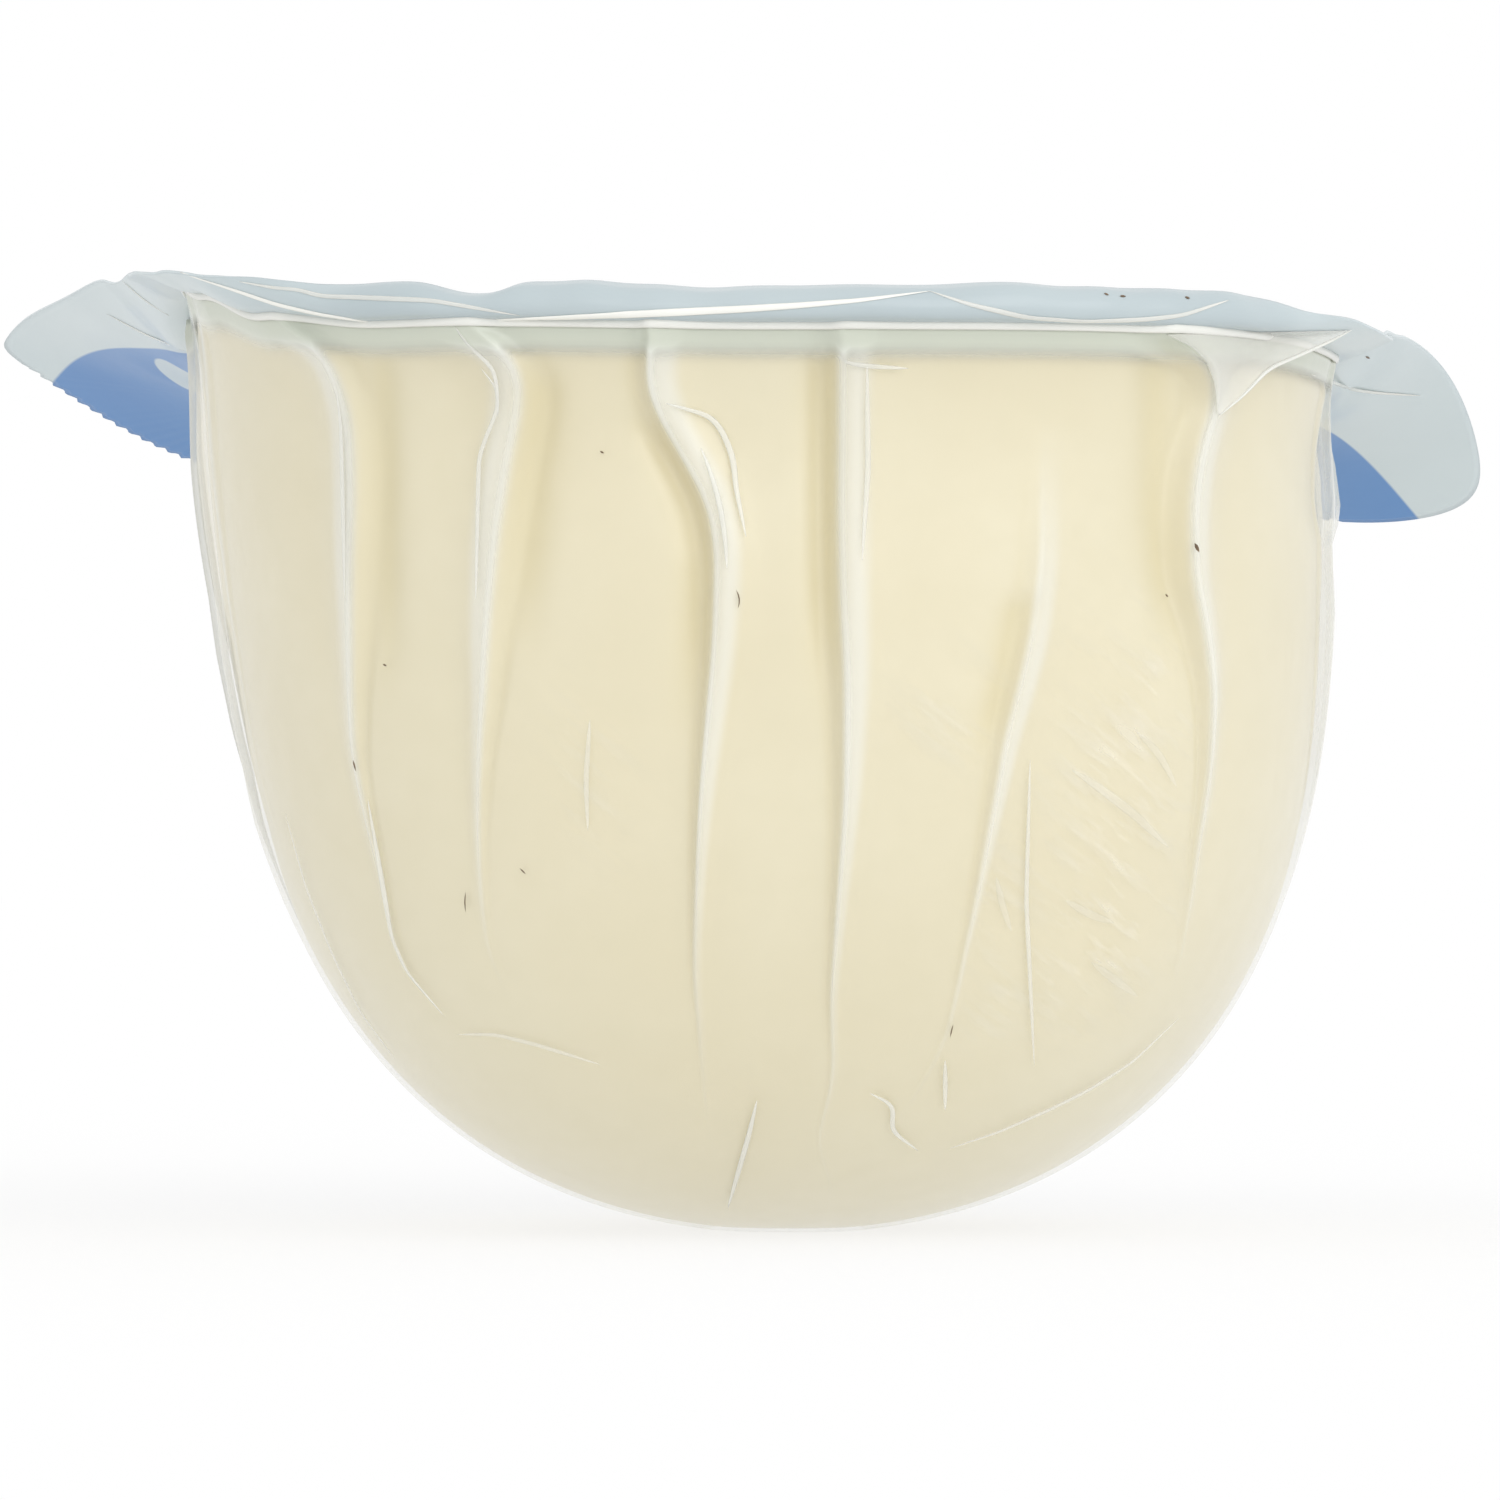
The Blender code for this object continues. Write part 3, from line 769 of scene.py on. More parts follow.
# %% [markdown]
# ## Where the film stands off
#
# The film doesn't cling everywhere.  At both sides it spans from one pleat to the next and leaves a
# pocket of air, and under the lid it flares out to the weld.  Both could be pulled out by hand in
# sculpt mode, but a bell across the side times a table of depths keeps cheese and film in step: one
# draws in by a part of the depth, and the other moves out by the rest.

# %% Slack at the sides
RIGHT_SLACK = {24: 0.1, 33: 0.8, 41: 1.3, 46: 1.7, 49: 1.3, 51: 1.2, 52.5: 2.4, 54: 3.0, 57: 2.4,
               60: 1.0, 62: 0.0}                                        # depth in mm at heights in mm
LEFT_SLACK = {21: 0.1, 26: 0.5, 30: 0.9, 34: 0.6, 37: 0.9, 42: 0.9, 46: 0.2}
RIGHT_FOLD, LEFT_FOLD = (92.0, 17.0), (268.0, 17.0)     # bearing and half width in degrees
DRAWN_IN = 1.15                                         # mm less flare at the left
BULGE = 0.9 * MM
BULGE_AT, BULGE_HALF = 268.0, 24.0                      # in degrees


def bell(bearing, centre, half):
    """A bell round a bearing: exp(-(difference / half)^2)."""
    return np.exp(-((turned(bearing, centre) / half) ** 2))


def flared(level, bearing):
    """The film's flare under the lid: the cube of the share of the way up its last stretch.  At the
    left it is drawn in, so the film stays upright there."""
    up = np.clip((level * DOME_HEIGHT - (DOME_HEIGHT - FLARE_HEIGHT)) / FLARE_HEIGHT, 0, 1)
    return (round_table(FLARE, bearing) - DRAWN_IN * bell(bearing, *LEFT_FOLD)) * MM * up**3


def left_bulge(level, bearing):
    """The dome is fuller at the left under the lid: a broad bell in the upper third, which dies away
    again at the rim."""
    rim = 1 - 0.8 * smooth((level - 0.84) / 0.16)
    return BULGE * bell(bearing, BULGE_AT, BULGE_HALF) * smooth((level - 0.6) / 0.26) * rim


def slack(level, bearing):
    """How far the film stands off the cheese at the sides: a bell across each side fold, times its
    depth at the height."""
    made = np.zeros_like(bearing)
    for table, (centre, half) in ((RIGHT_SLACK, RIGHT_FOLD), (LEFT_SLACK, LEFT_FOLD)):
        depth = np.interp(level * DOME_HEIGHT / MM, list(table), list(table.values()))
        made += depth * MM * bell(bearing, centre, half)
    return made


# %% Cheese
FILM_GAP = 0.28 * MM        # between cheese and film
FOOT_LIFT = 0.25 * MM       # between cheese and floor
TOP_GAP = 0.5 * MM          # between cheese and rim
SHOULDER = 2.4 * MM         # height of the rounded top edge
SHOULDER_IN = 0.7           # its depth as a share of its height
LUMPS = 0.12 * MM
CHEESE_FLARE = 0.9          # the cheese follows this much of the flare
CHEESE_DRAW = 0.55          # and draws in by this much of the slack
CHEESE_TOP = (0.92, 0.7, 0.4)
FOOT_SHARES = (0.33, 0.67)


def padded_rows(values, below, above):
    """Rows of zeros added under and over a grid of values."""
    return np.pad(values, ((below, above), (0, 0)))


def cheese_grid():
    """Rows from the foot up the side, over a rounded shoulder and in across the top.  The radius is
    the dome's, less the gap, with pleats, slow waves for lumps, bulge, flare and slack added."""
    level = levels[:, None] + 0 * bearings
    relief, _, band, valley = pleat_relief(bearings, level)
    height = stretched(level, bearings)
    top = stretched(np.ones(bearings.shape[1]), bearings[-1]) - TOP_GAP
    above = np.clip(height - (top - SHOULDER), 0, SHOULDER * 0.999)
    tuck = SHOULDER * SHOULDER_IN * (1 - np.sqrt(1 - (above / SHOULDER) ** 2))
    lumps = LUMPS * np.sin(bearings * 0.11 + 9 * level) * np.sin(14 * level - bearings * 0.05)
    radius = plan_radius(bearings) * side_share(level) - FILM_GAP - tuck + relief + lumps * level
    radius += left_bulge(level, bearings) + CHEESE_FLARE * flared(level, bearings)
    radius -= CHEESE_DRAW * slack(level, bearings)
    height = np.minimum(height, top - 0.001 * MM * (1 - level))
    height = np.where(level <= level[0], FOOT_LIFT, height + FOOT_LIFT * (1 - level))
    sides = placed(np.radians(bearings), radius, height)
    bottom = foot_rings(sides[0], FOOT_SHARES)
    lid = lid_rings(sides[-1], CHEESE_TOP)
    layers = {label: [padded_rows(value, len(FOOT_SHARES), len(CHEESE_TOP))]
              for label, value in (("band", band), ("valley", valley))}
    return lean(np.concatenate([bottom, sides, lid])), layers


cheese_points, cheese_layers = cheese_grid()
middle = cheese_points[-1].mean(axis=0)
closed_surface("cheese_dome", [(cheese_points, (0, 0, FOOT_LIFT), middle)], cheese_look,
               "scamorza_in_film", cheese_layers)

# %% [markdown]
# ## The clear film
#
# The film is a bag just outside the cheese.  It repeats the pleats with a sharp crest, stands off
# the cheese at both sides, and flares out under the lid.  Close to the lid it is milky from the
# heat of the seal, which an attribute tells its finish.

# %% Where the film is finely crinkled, with a painted sheen on the wrinkles
CRINKLE_AND_SHEEN_SPOTS = (((1118, 800), 5.0, 10.0, 1.0), ((1100, 940), 6.0, 5.0, 1.0), ((955, 712), 4.0, 3.5, 0.6),
            ((1152, 685), 3.0, 3.0, 0.8), ((1003, 905), 2.5, 5.0, 0.6), ((590, 780), 3.0, 6.0, 0.4),
            ((1000, 1000), 2.5, 2.5, 0.6))      # picture point, half width and height in mm, strength


def crinkle_and_sheen_at(level, bearing):
    """The strongest of a few bells on the dome: exp(-(across / half width)^2 - (up / half height)^2)."""
    made = np.zeros_like(bearing)
    centres = seen_at([point for point, *_ in CRINKLE_AND_SHEEN_SPOTS])
    for centre, high, (_, half_wide, half_high, strength) in zip(*centres, CRINKLE_AND_SHEEN_SPOTS):
        across = turned(bearing, centre) * math.radians(1) * DOME_WIDTH / 2 / (half_wide * MM)
        up = (level - high) * DOME_HEIGHT / (half_high * MM)
        made = np.maximum(made, strength * np.exp(-(across**2 + up**2)))
    return made


# %% Clear film bag
SEAL_MILK = 2.4 * MM        # how far below the lid the film is milky
SEAL_FADE = 1.5 * MM        # over which stretch it clears
SEAL_LIFT = 0.2 * MM        # the film's top edge meets the underside of the lid
FILM_STAND = 0.45           # the film moves out by this much of the slack
CREST_LINE = 0.1            # height of the thin line on a crest, as a share of the pleat's
FILM_TOP = (0.99, 0.6)


def film_grid():
    """The same rows as the cheese, carried on to the seal line under the lid."""
    level = levels[:, None] + 0 * bearings
    relief, crest, band, _ = pleat_relief(bearings, level, sharp=CREST_LINE)
    loose = slack(level, bearings)
    radius = plan_radius(bearings) * side_share(level) + relief + left_bulge(level, bearings)
    radius += flared(level, bearings) + FILM_STAND * loose
    sides = placed(np.radians(bearings), radius, stretched(level, bearings))
    sides[-1, :, 2] += SEAL_LIFT
    bottom = foot_rings(sides[0], FOOT_SHARES)
    lid = lid_rings(sides[-1], FILM_TOP)
    milk = smooth((SEAL_MILK - (1 - level) * DOME_HEIGHT) / SEAL_FADE)
    values = {"crest": crest, "band": band, "milk": milk, "slack": loose / MM,
              "crinkle_and_sheen": crinkle_and_sheen_at(level, bearings)}
    layers = {label: [padded_rows(value, len(FOOT_SHARES), len(FILM_TOP))]
              for label, value in values.items()}
    return lean(np.concatenate([bottom, sides, lid])), layers


film_points, film_layers = film_grid()
middle = film_points[-1].mean(axis=0)
film = closed_surface("clear_film_bag", [(film_points, (0, 0, 0), middle)], film_look,
                      "scamorza_in_film", film_layers)

# %% [markdown]
# ## The lid and its flange
#
# The lid film is cut flat and then bends.  So it is worked out in two steps: first where each point
# lies on the flat film, between the line where the flange bends and the cut edge, and then how far
# out and up the bend takes it.  The cut along the back is toothed, as a film cut by a serrated
# knife is.

# %% Sizes of the lid
LID_THICKNESS = 0.4 * MM
SEEN_THICKNESS = 0.6    # share of it that the visible film has
LID_GAP = 0.3 * MM
FRONT_REACH = 48.9 * MM
BACK_REACH = 57.0 * MM
RIGHT_REACH, LEFT_REACH = 47.2 * MM, 46.6 * MM
RIGHT_SPREAD, LEFT_SPREAD = 0.22, 0.268     # how much the sides widen towards the back
FRONT_POWER = 2.3
BACK_POWER = 6.0
RIGHT_CORNER, LEFT_CORNER = 19.0, 90.0
TOP_SWELL = 0.9 * MM
SWELL_UNEVEN = 0.35
LID_COLUMNS = 1300
INNER_SHARES = (0.25, 0.5, 0.75, 0.9, 1.0)  # rings between the middle and the bend
FLANGE_ROWS = 30
TOOTH_PITCH = 1.0 * MM
TOOTH_DEPTH = 0.5 * MM
TOOTH_REACH = 0.01 * MM     # teeth only where the edge is this close to the back line

# %% How the flange bends, by bearing
TILT = {0: 48, 30: 48, 50: 38, 62: 22, 75: 20, 90: 27, 100: 40, 111: 44, 120: 28, 126: 6, 129: -6,
        132: -10, 134: -14, 137: -20, 140: -25, 152: -26, 180: -21, 207: -30, 219: -17, 223: 0,
        228: 14, 235: 27, 242: 38, 249: 48, 258: 50, 266: 42, 270: 38, 283: 22, 294: 28, 303: 28,
        312: 30, 322: 40, 335: 48}                          # degrees up
BEND_LENGTH = {0: 2.2, 90: 2.6, 115: 3.0, 135: 6.0, 180: 6.0, 225: 7.0, 250: 3.0, 310: 2.4}     # mm
CURL_START = 0.8 * MM
CURL_RADIUS = 1.3 * MM
CURL_TURN = {0: 120, 46: 120, 64: 0, 180: 0, 306: 0, 322: 120}                  # degrees
STRIP_START = 0.12      # share of the flange over which the curled strip turns to its painted shade
FRONT_RISE = {0: 1.0, 11: 1.0, 19: 1.15, 27: 1.1, 35: 1.15, 44: 1.1, 50: 0.85, 54: 0.62, 58: 0.65,
              62: 0.9, 68: 1.0, 262: 1.0, 270: 0.95, 276: 0.75, 282: 0.5, 286: 0.42, 290: 0.7,
              294: 1.05, 300: 1.15, 304: 1.45, 308: 1.4, 311: 1.0, 315: 0.83, 319: 0.82, 322: 0.95,
              325: 1.05, 330: 1.05, 333.5: 0.72, 337: 0.75, 339: 1.1, 346: 1.12, 356: 1.0}     # times as high
TABLE_BLUR, RISE_BLUR = 4.0, 1.5        # degrees either side
RUMPLE = 0.3 * MM


# %% The flat film
def bend_radius(bearing):
    """Distance to the line where the flange bends: the seal in front, squarer at the back."""
    power = np.where(np.cos(np.radians(bearing)) < 0, BACK_POWER, PLAN_POWER)
    return plan_radius(bearing, power) + round_table(FLARE, bearing) * MM


def top_height(x, y):
    """Height of the lid over the cheese: the rim's height, swollen a little towards the middle."""
    bearing = np.degrees(np.arctan2(x, -y))
    out = np.clip(np.hypot(x, y) / seal_radius(bearing), 0, 1)
    waves = np.sin(85 * x + 40 * y) * np.cos(70 * y - 30 * x)
    swell = TOP_SWELL * (1 - out**2) * (1 + SWELL_UNEVEN * waves)
    return DOME_HEIGHT + LID_GAP + LID_THICKNESS / 2 + rim_rise(bearing) * out**2 + swell


def outside_cut(x, y):
    """Above zero outside the cut edge: round in front, straight at the back and sides, and at the
    back corners (side^n + back^n)^(1/n) = 1, sharper the higher n is."""
    wide = np.where(x > 0, RIGHT_REACH, LEFT_REACH)
    spread = np.where(x > 0, RIGHT_SPREAD, LEFT_SPREAD)
    front_edge = (np.abs(x) / wide) ** FRONT_POWER + (np.abs(y) / FRONT_REACH) ** FRONT_POWER - 1
    sides = np.clip((np.abs(x) - spread * y) / wide, 0, None)
    back = np.clip(y / BACK_REACH, 0, None)
    corner = np.where(x > 0, RIGHT_CORNER, LEFT_CORNER)
    return np.where(y < 0, front_edge, (sides**corner + back**corner) ** (1 / corner) - 1)


def reach_from(line, outward):
    """Distance from each point to the cut edge along its direction, by halving."""
    low, high = np.zeros(len(line)), np.full(len(line), 60 * MM)
    for _ in range(32):
        middle = (low + high) / 2
        at = line + outward * middle[:, None]
        past = outside_cut(at[:, 0], at[:, 1]) > 0
        low, high = np.where(past, low, middle), np.where(past, middle, high)
    return low


def lid_columns():
    """Start points, directions and reaches of the flange's columns, spaced evenly along the sum of
    0.3 of the bend line's length and the cut edge's, which counts double where it has teeth."""
    bearing = np.linspace(0, 360, 14401)
    turn, radius = np.radians(bearing), bend_radius(bearing)
    path = np.column_stack([radius * np.sin(turn), -radius * np.cos(turn)])[:-1]
    along = np.roll(path, -1, axis=0) - np.roll(path, 1, axis=0)
    outward = np.column_stack([along[:, 1], -along[:, 0]])
    outward /= np.hypot(*outward.T)[:, None]
    reach = reach_from(path, outward)
    cut = path + outward * reach[:, None]
    lengths = [np.hypot(*(np.roll(line, -1, axis=0) - line).T) for line in (path, cut)]
    toothed = cut[:, 1] > BACK_REACH - TOOTH_REACH
    run = np.concatenate([[0], np.cumsum(0.3 * lengths[0] + lengths[1] * (1 + toothed))])
    even = np.interp(np.linspace(0, run[-1], LID_COLUMNS, endpoint=False), run, np.arange(len(run)))
    low = even.astype(int) % len(path)
    share = (even - even.astype(int))[:, None]
    high = (low + 1) % len(path)
    start = path[low] * (1 - share) + path[high] * share
    direction = outward[low] * (1 - share) + outward[high] * share
    direction /= np.hypot(*direction.T)[:, None]
    reach = reach_from(start, direction)
    edge = start + direction * reach[:, None]
    toothed = edge[:, 1] > BACK_REACH - TOOTH_REACH
    tooth = np.abs((edge[:, 0] / TOOTH_PITCH) % 1 - 0.5) * 2
    reach = reach - toothed * TOOTH_DEPTH * tooth / np.maximum(direction[:, 1], 0.3)
    return start, direction, reach


start, direction, reach = lid_columns()
print("flange reaches, mm:", round(reach.min() / MM, 1), "to", round(reach.max() / MM, 1))


# %% The bent film
def blurred_table(table, bearing, blur=TABLE_BLUR):
    """Values at a few bearings joined by straight lines round the circle, then averaged over a
    bell a few degrees wide, so that the film has no kinks."""
    keys = np.array(sorted(table), float)
    values = np.array([table[k] for k in sorted(table)], float)
    fine = np.arange(-40, 400, 0.25)
    plain = np.interp(fine, np.concatenate([keys - 360, keys, keys + 360]), np.tile(values, 3))
    window = np.exp(-((np.arange(-60, 61) * 0.25 / blur) ** 2))
    soft = np.convolve(plain, window / window.sum(), mode="same")
    return np.interp(np.mod(bearing, 360), fine, soft)


def flange_profile(bearing, reach):
    """Distances out and heights across the flange: the tilt grows in over the bend, then a curl
    adds to it in front.  Sums of short steps along the angle give the curve."""
    fine = 6
    turn = np.radians(bearing)
    steps = FLANGE_ROWS * fine
    along = np.linspace(0, 1, steps + 1)[:, None] * reach
    entry = smooth(along / (round_table(BEND_LENGTH, bearing) * MM))
    tilt = np.radians(blurred_table(TILT, bearing)) * entry
    rumple = RUMPLE * np.sin(turn * 13) * np.cos(turn * 5)
    rumple += 0.35 * RUMPLE * np.sin(turn * 41 + 2 * np.cos(turn * 7))
    curl = np.radians(blurred_table(CURL_TURN, bearing))
    angle = tilt + np.clip((along - CURL_START - rumple) / CURL_RADIUS * curl / curl.max(), 0, curl)
    middle = (angle[1:] + angle[:-1]) / 2
    step = reach / steps
    out = np.cumsum(np.cos(middle) * step, axis=0)[fine - 1 :: fine]
    up = np.cumsum(np.sin(middle) * step, axis=0)[fine - 1 :: fine]
    return out, up * blurred_table(FRONT_RISE, bearing, RISE_BLUR)


def lid_sheet():
    """Rings of points on the lid's middle surface, their flat coordinates, and how far each point
    belongs to the strip that curls."""
    edge = start + direction * reach[:, None]
    bearing = np.mod(np.degrees(np.arctan2(edge[:, 0], -edge[:, 1])), 360)
    rings, flats = [], []
    for share in INNER_SHARES:
        flat = start * share
        rings.append(np.column_stack([flat, top_height(flat[:, 0], flat[:, 1])]))
        flats.append(flat)
    level = rings[-1][:, 2]
    out, up = flange_profile(bearing, reach)
    for row in range(FLANGE_ROWS):
        flat = start + direction * out[row][:, None]
        rings.append(np.column_stack([flat, level + up[row]]))
        flats.append(start + direction * (reach * (row + 1) / FLANGE_ROWS)[:, None])
    rows = np.concatenate([np.zeros(len(INNER_SHARES)), np.linspace(0, 1, FLANGE_ROWS)])
    curled = blurred_table(CURL_TURN, bearing) / max(CURL_TURN.values())
    return np.array(rings), np.array(flats), smooth(rows[:, None] / STRIP_START) * curled


def unit(vectors):
    """Vectors brought to length one."""
    return vectors / np.linalg.norm(vectors, axis=-1, keepdims=True)


def sheet_normals(rings, centre):
    """Unit normals: the step outwards crossed with the step round."""
    before = np.broadcast_to(centre, rings[:1].shape)
    padded = np.concatenate([before, rings, 2 * rings[-1:] - rings[-2:-1]])
    around = np.roll(rings, -3, axis=1) - np.roll(rings, 3, axis=1)
    return unit(np.cross(padded[2:] - padded[:-2], around))


def there_and_back(rows):
    """Rows out from the middle, then the same rows back again."""
    return np.concatenate([rows, rows[::-1]])


rings, flats, strip = lid_sheet()
centre = np.array([0, 0, float(top_height(0.0, 0.0))])
half_thick = LID_THICKNESS / 2 * SEEN_THICKNESS
half = sheet_normals(rings, centre) * half_thick
stack = lean(np.concatenate([rings - half, (rings + half)[::-1]]))
poles = lean(np.array([centre - [0, 0, half_thick], centre + [0, 0, half_thick]]))
lid = closed_surface("printed_lid", [(stack, *poles)], print_look, "lid_film",
                     {"strip": [there_and_back(strip)]}, there_and_back(flats))

# %% [markdown]
# ## Fine creases
#
# The finest creases are ridges of doubled film a quarter of a millimetre wide.  They could be bump
# in the finish, but real ridges catch the light from every side and stay in the mesh itself.  Each
# is a thin flattened tube along a path that is looked for from the camera, as the pleats are.

# %% Ridge helper
RIDGE_SIDES = 8
RIDGE_HEIGHT = 0.35      # of the half width
RIDGE_LIFT = 0.04 * MM
RIDGE_SPACING = 4.0      # picture points between its rings
RIDGE_SOFTENING = 6      # rounds of averaging along its path


def search_tree(*pieces):
    """The pieces' faces as one tree that rays can be sent into."""
    points, faces = [], []
    for piece in pieces:
        faces += [tuple(v + len(points) for v in face.vertices) for face in piece.data.polygons]
        points += [v.co.copy() for v in piece.data.vertices]
    return BVHTree.FromPolygons(points, faces)


def softened(values):
    """Rows averaged with their neighbours, (1, 2, 1) / 4, a few times, with both ends kept."""
    for _ in range(RIDGE_SOFTENING):
        middle = (values[:-2] + 2 * values[1:-1] + values[2:]) / 4
        values = np.concatenate([values[:1], middle, values[-1:]])
    return values


def ridge(places, normals, half_width, half_height, taper=True):
    """A tube p + k (w cos a S + h sin a N) along a path, with S square to path and normal N, and
    k = sqrt(sin(pi t)) where both ends run out."""
    places, normals = softened(places), unit(softened(normals))
    side = unit(np.cross(normals, np.gradient(places, axis=0)))
    share = np.linspace(0, 1, len(places))
    keep = np.sqrt(np.clip(np.sin(math.pi * share), 0.01, 1)) if taper else np.ones(len(places))
    turn = np.linspace(0, 2 * math.pi, RIDGE_SIDES, endpoint=False)[None, :, None]
    ring = half_width * np.cos(turn) * side[:, None] + half_height * np.sin(turn) * normals[:, None]
    return places[:, None] + keep[:, None, None] * ring, places[0], places[-1]


def ridges(name, tree, rows, node, finish):
    """One piece of many ridges: rows of half width in mm, cover and picture points."""
    grids, covers = [], []
    for half_width, cover, points in rows:
        half = half_width * MM
        places, normals = seen_on(tree, through(points, RIDGE_SPACING))
        grids.append(ridge(places + normals * RIDGE_LIFT, normals, half, RIDGE_HEIGHT * half))
        covers.append(np.full(grids[-1][0].shape[:2], cover))
    return closed_surface(name, grids, finish, node, {"cover": covers})


film_tree, lid_tree, whole_tree = search_tree(film), search_tree(lid), search_tree(film, lid)

# %% Creases of the clear film: half width in mm, cover, picture points
FILM_CREASES = (
    (0.2, 0.5, ((757, 1100), (748, 1138), (728, 1207))),
    (0.2, 0.3, ((949, 1148), (1000, 1131), (1050, 1109), (1088, 1090), (1132, 1062), (1178, 1018))),
    (0.18, 0.45, ((870, 1093), (895, 1105), (890, 1130), (918, 1150))),
    (0.18, 0.35, ((945, 1060), (945, 1110))),
    (0.18, 0.3, ((1030, 760), (1026, 900), (1034, 1065))),
    (0.2, 0.2, ((458, 1034), (496, 1034), (539, 1045), (600, 1064))),
    (0.2, 0.3, ((286, 814), (306, 886), (332, 952), (361, 1012), (395, 1058))),
    (0.2, 0.4, ((368, 800), (378, 857), (392, 938), (407, 972), (444, 1015))),
    (0.34, 0.12, ((1072, 770), (1100, 788), (1135, 815), (1168, 847))),
    (0.3, 0.1, ((1137, 732), (1158, 752), (1176, 786))),
    (0.3, 0.08, ((1065, 900), (1090, 915), (1114, 923))),
    (0.3, 0.08, ((1091, 962), (1115, 980), (1137, 996))),
    (0.26, 0.1, ((996, 877), (1002, 905), (1011, 931))),
    (0.24, 0.45, ((336, 384), (341, 425), (343, 500), (345, 600))),
    (0.18, 0.5, ((455, 326), (465, 342), (494, 368), (498, 393), (498, 416))),
    (0.2, 0.4, ((481, 368), (497, 387), (498, 409), (487, 435), (479, 457), (478, 505), (476, 600))),
    (0.22, 0.4, ((666, 403), (711, 416), (723, 432), (733, 457), (736, 489), (746, 537))),
    (0.2, 0.4, ((701, 448), (711, 473), (720, 505), (725, 537), (727, 569))),
    (0.22, 0.3, ((867, 362), (868, 470), (862, 560))),
    (0.18, 0.35, ((838, 355), (841, 362), (870, 366), (908, 368))),
    (0.2, 0.2, ((590, 720), (586, 780), (588, 830))),
)
ridges("film_creases", film_tree, FILM_CREASES, "scamorza_in_film", crease_highlight_look)

# %% Creases of the flange: the lip that curls over, two folds behind it and three on the wings
LID_CREASES = (
    (0.3, 0.95, ((180, 272), (229, 288), (276, 304), (320, 314), (368, 321), (430, 322), (489, 319),
                 (560, 317), (650, 313), (736, 309), (800, 305), (860, 300), (930, 291))),
    (0.22, 0.7, ((930, 291), (969, 304), (1026, 317), (1084, 321), (1145, 319), (1183, 315), (1229, 300))),
    (0.18, 0.6, ((239, 281), (276, 288), (298, 289), (319, 296), (355, 297), (430, 300), (520, 315))),
    (0.16, 0.6, ((122, 280), (143, 299), (169, 315))),
    (0.16, 0.5, ((106, 313), (147, 335), (184, 350))),
    (0.18, 0.6, ((1311, 374), (1333, 382), (1355, 390), (1384, 393), (1421, 395))),
)
ridges("lid_creases", whole_tree, LID_CREASES, "lid_film", crease_highlight_look)

# %% [markdown]
# ## The weld
#
# A hot ring presses the two films together, and a little softened film is squeezed out beside it.
# It could be a bevel on the film's edge.  The ridge helper does it with less: one tube that follows
# the bag's top row right round, a shade outside it.  Its pale cover is partly that whitened film and
# partly painted light laid over the dark crevice where film and lid meet.

# %% Weld ridge
WELD_OUT = 0.12 * MM
WELD_HALF = (0.34 * MM, 0.22 * MM)
# partly whitened film, partly painted light over the dark crevice under the lid
WELD_COVER = 0.85


def weld_ridge():
    """A ridge all the way round, where film and lid meet, with its ends together at the back."""
    row = film_points[-1 - len(FILM_TOP)]
    row = np.roll(row, -int(np.argmax(row[:, 1])), axis=0)
    out = unit((row - row.mean(axis=0)) * [1, 1, 0])
    row, out = (np.vstack([values, values[:1]]) for values in (row, out))
    return ridge(row + out * WELD_OUT, out, *WELD_HALF, taper=False)


weld = weld_ridge()
closed_surface("weld_ridge", [weld], crease_highlight_look, "scamorza_in_film",
               {"cover": [np.full(weld[0].shape[:2], WELD_COVER)]})

# %% [markdown]
# ## The loose flap
#
# At the front right a flap of slack film spans from the flange down to the crest of the last pleat.
# Cloth simulation would find such a shape, but not this very one.  Two sides drawn as seen from the
# camera fix it, and straight lines between them make the taut sheet.  A ridge along its free edge
# gives the bright line where the film folds back.

# %% Loose flap of film
FLAP_LEFT = ((1166, 334), (1191, 346), (1206, 360), (1214, 380), (1217, 400), (1218, 414))
FLAP_RIGHT = ((1352, 330), (1331, 341), (1302, 354), (1269, 368), (1244, 395), (1220, 415))
FLAP_ROWS, FLAP_COLUMNS = 36, 28
FLAP_CLEAR = 0.3 * MM
FLAP_THICKNESS = 0.08 * MM
FLAP_COVER, FLAP_EDGE_COVER = 0.32, 0.8
FLAP_EDGE = 0.15 * MM


def flap_sheet():
    """Picture points spread evenly between the flap's two sides, each at a depth between those of
    its sides, and never deeper than just in front of the lid and film behind it."""
    side = [through(points, 2.0) for points in (FLAP_LEFT, FLAP_RIGHT)]
    even = np.linspace(0, 1, FLAP_ROWS)
    left, right = (np.column_stack([np.interp(even, np.linspace(0, 1, len(p)), p[:, k]) for k in (0, 1)])
                   for p in side)
    share = np.linspace(0, 1, FLAP_COLUMNS)[None, :, None]
    seen = left[:, None] * (1 - share) + right[:, None] * share
    behind = seen_on(whole_tree, seen.reshape(-1, 2))[0][:, 1].reshape(FLAP_ROWS, FLAP_COLUMNS)
    first, last = behind[:, :1], np.linspace(behind[0, -1], behind[-1, 0], FLAP_ROWS)[:, None]
    deep = np.minimum(first * (1 - share[..., 0]) + last * share[..., 0], behind) - FLAP_CLEAR
    away = (deep + CAMERA_AWAY)[..., None]
    across = (seen[..., :1] - SEEN_CENTRE_X) / FOCUS - camera_side / CAMERA_AWAY
    up = (SEEN_HORIZON - seen[..., 1:]) / FOCUS
    return np.concatenate([camera_side + across * away, away - CAMERA_AWAY, CAMERA_UP + up * away], axis=-1)


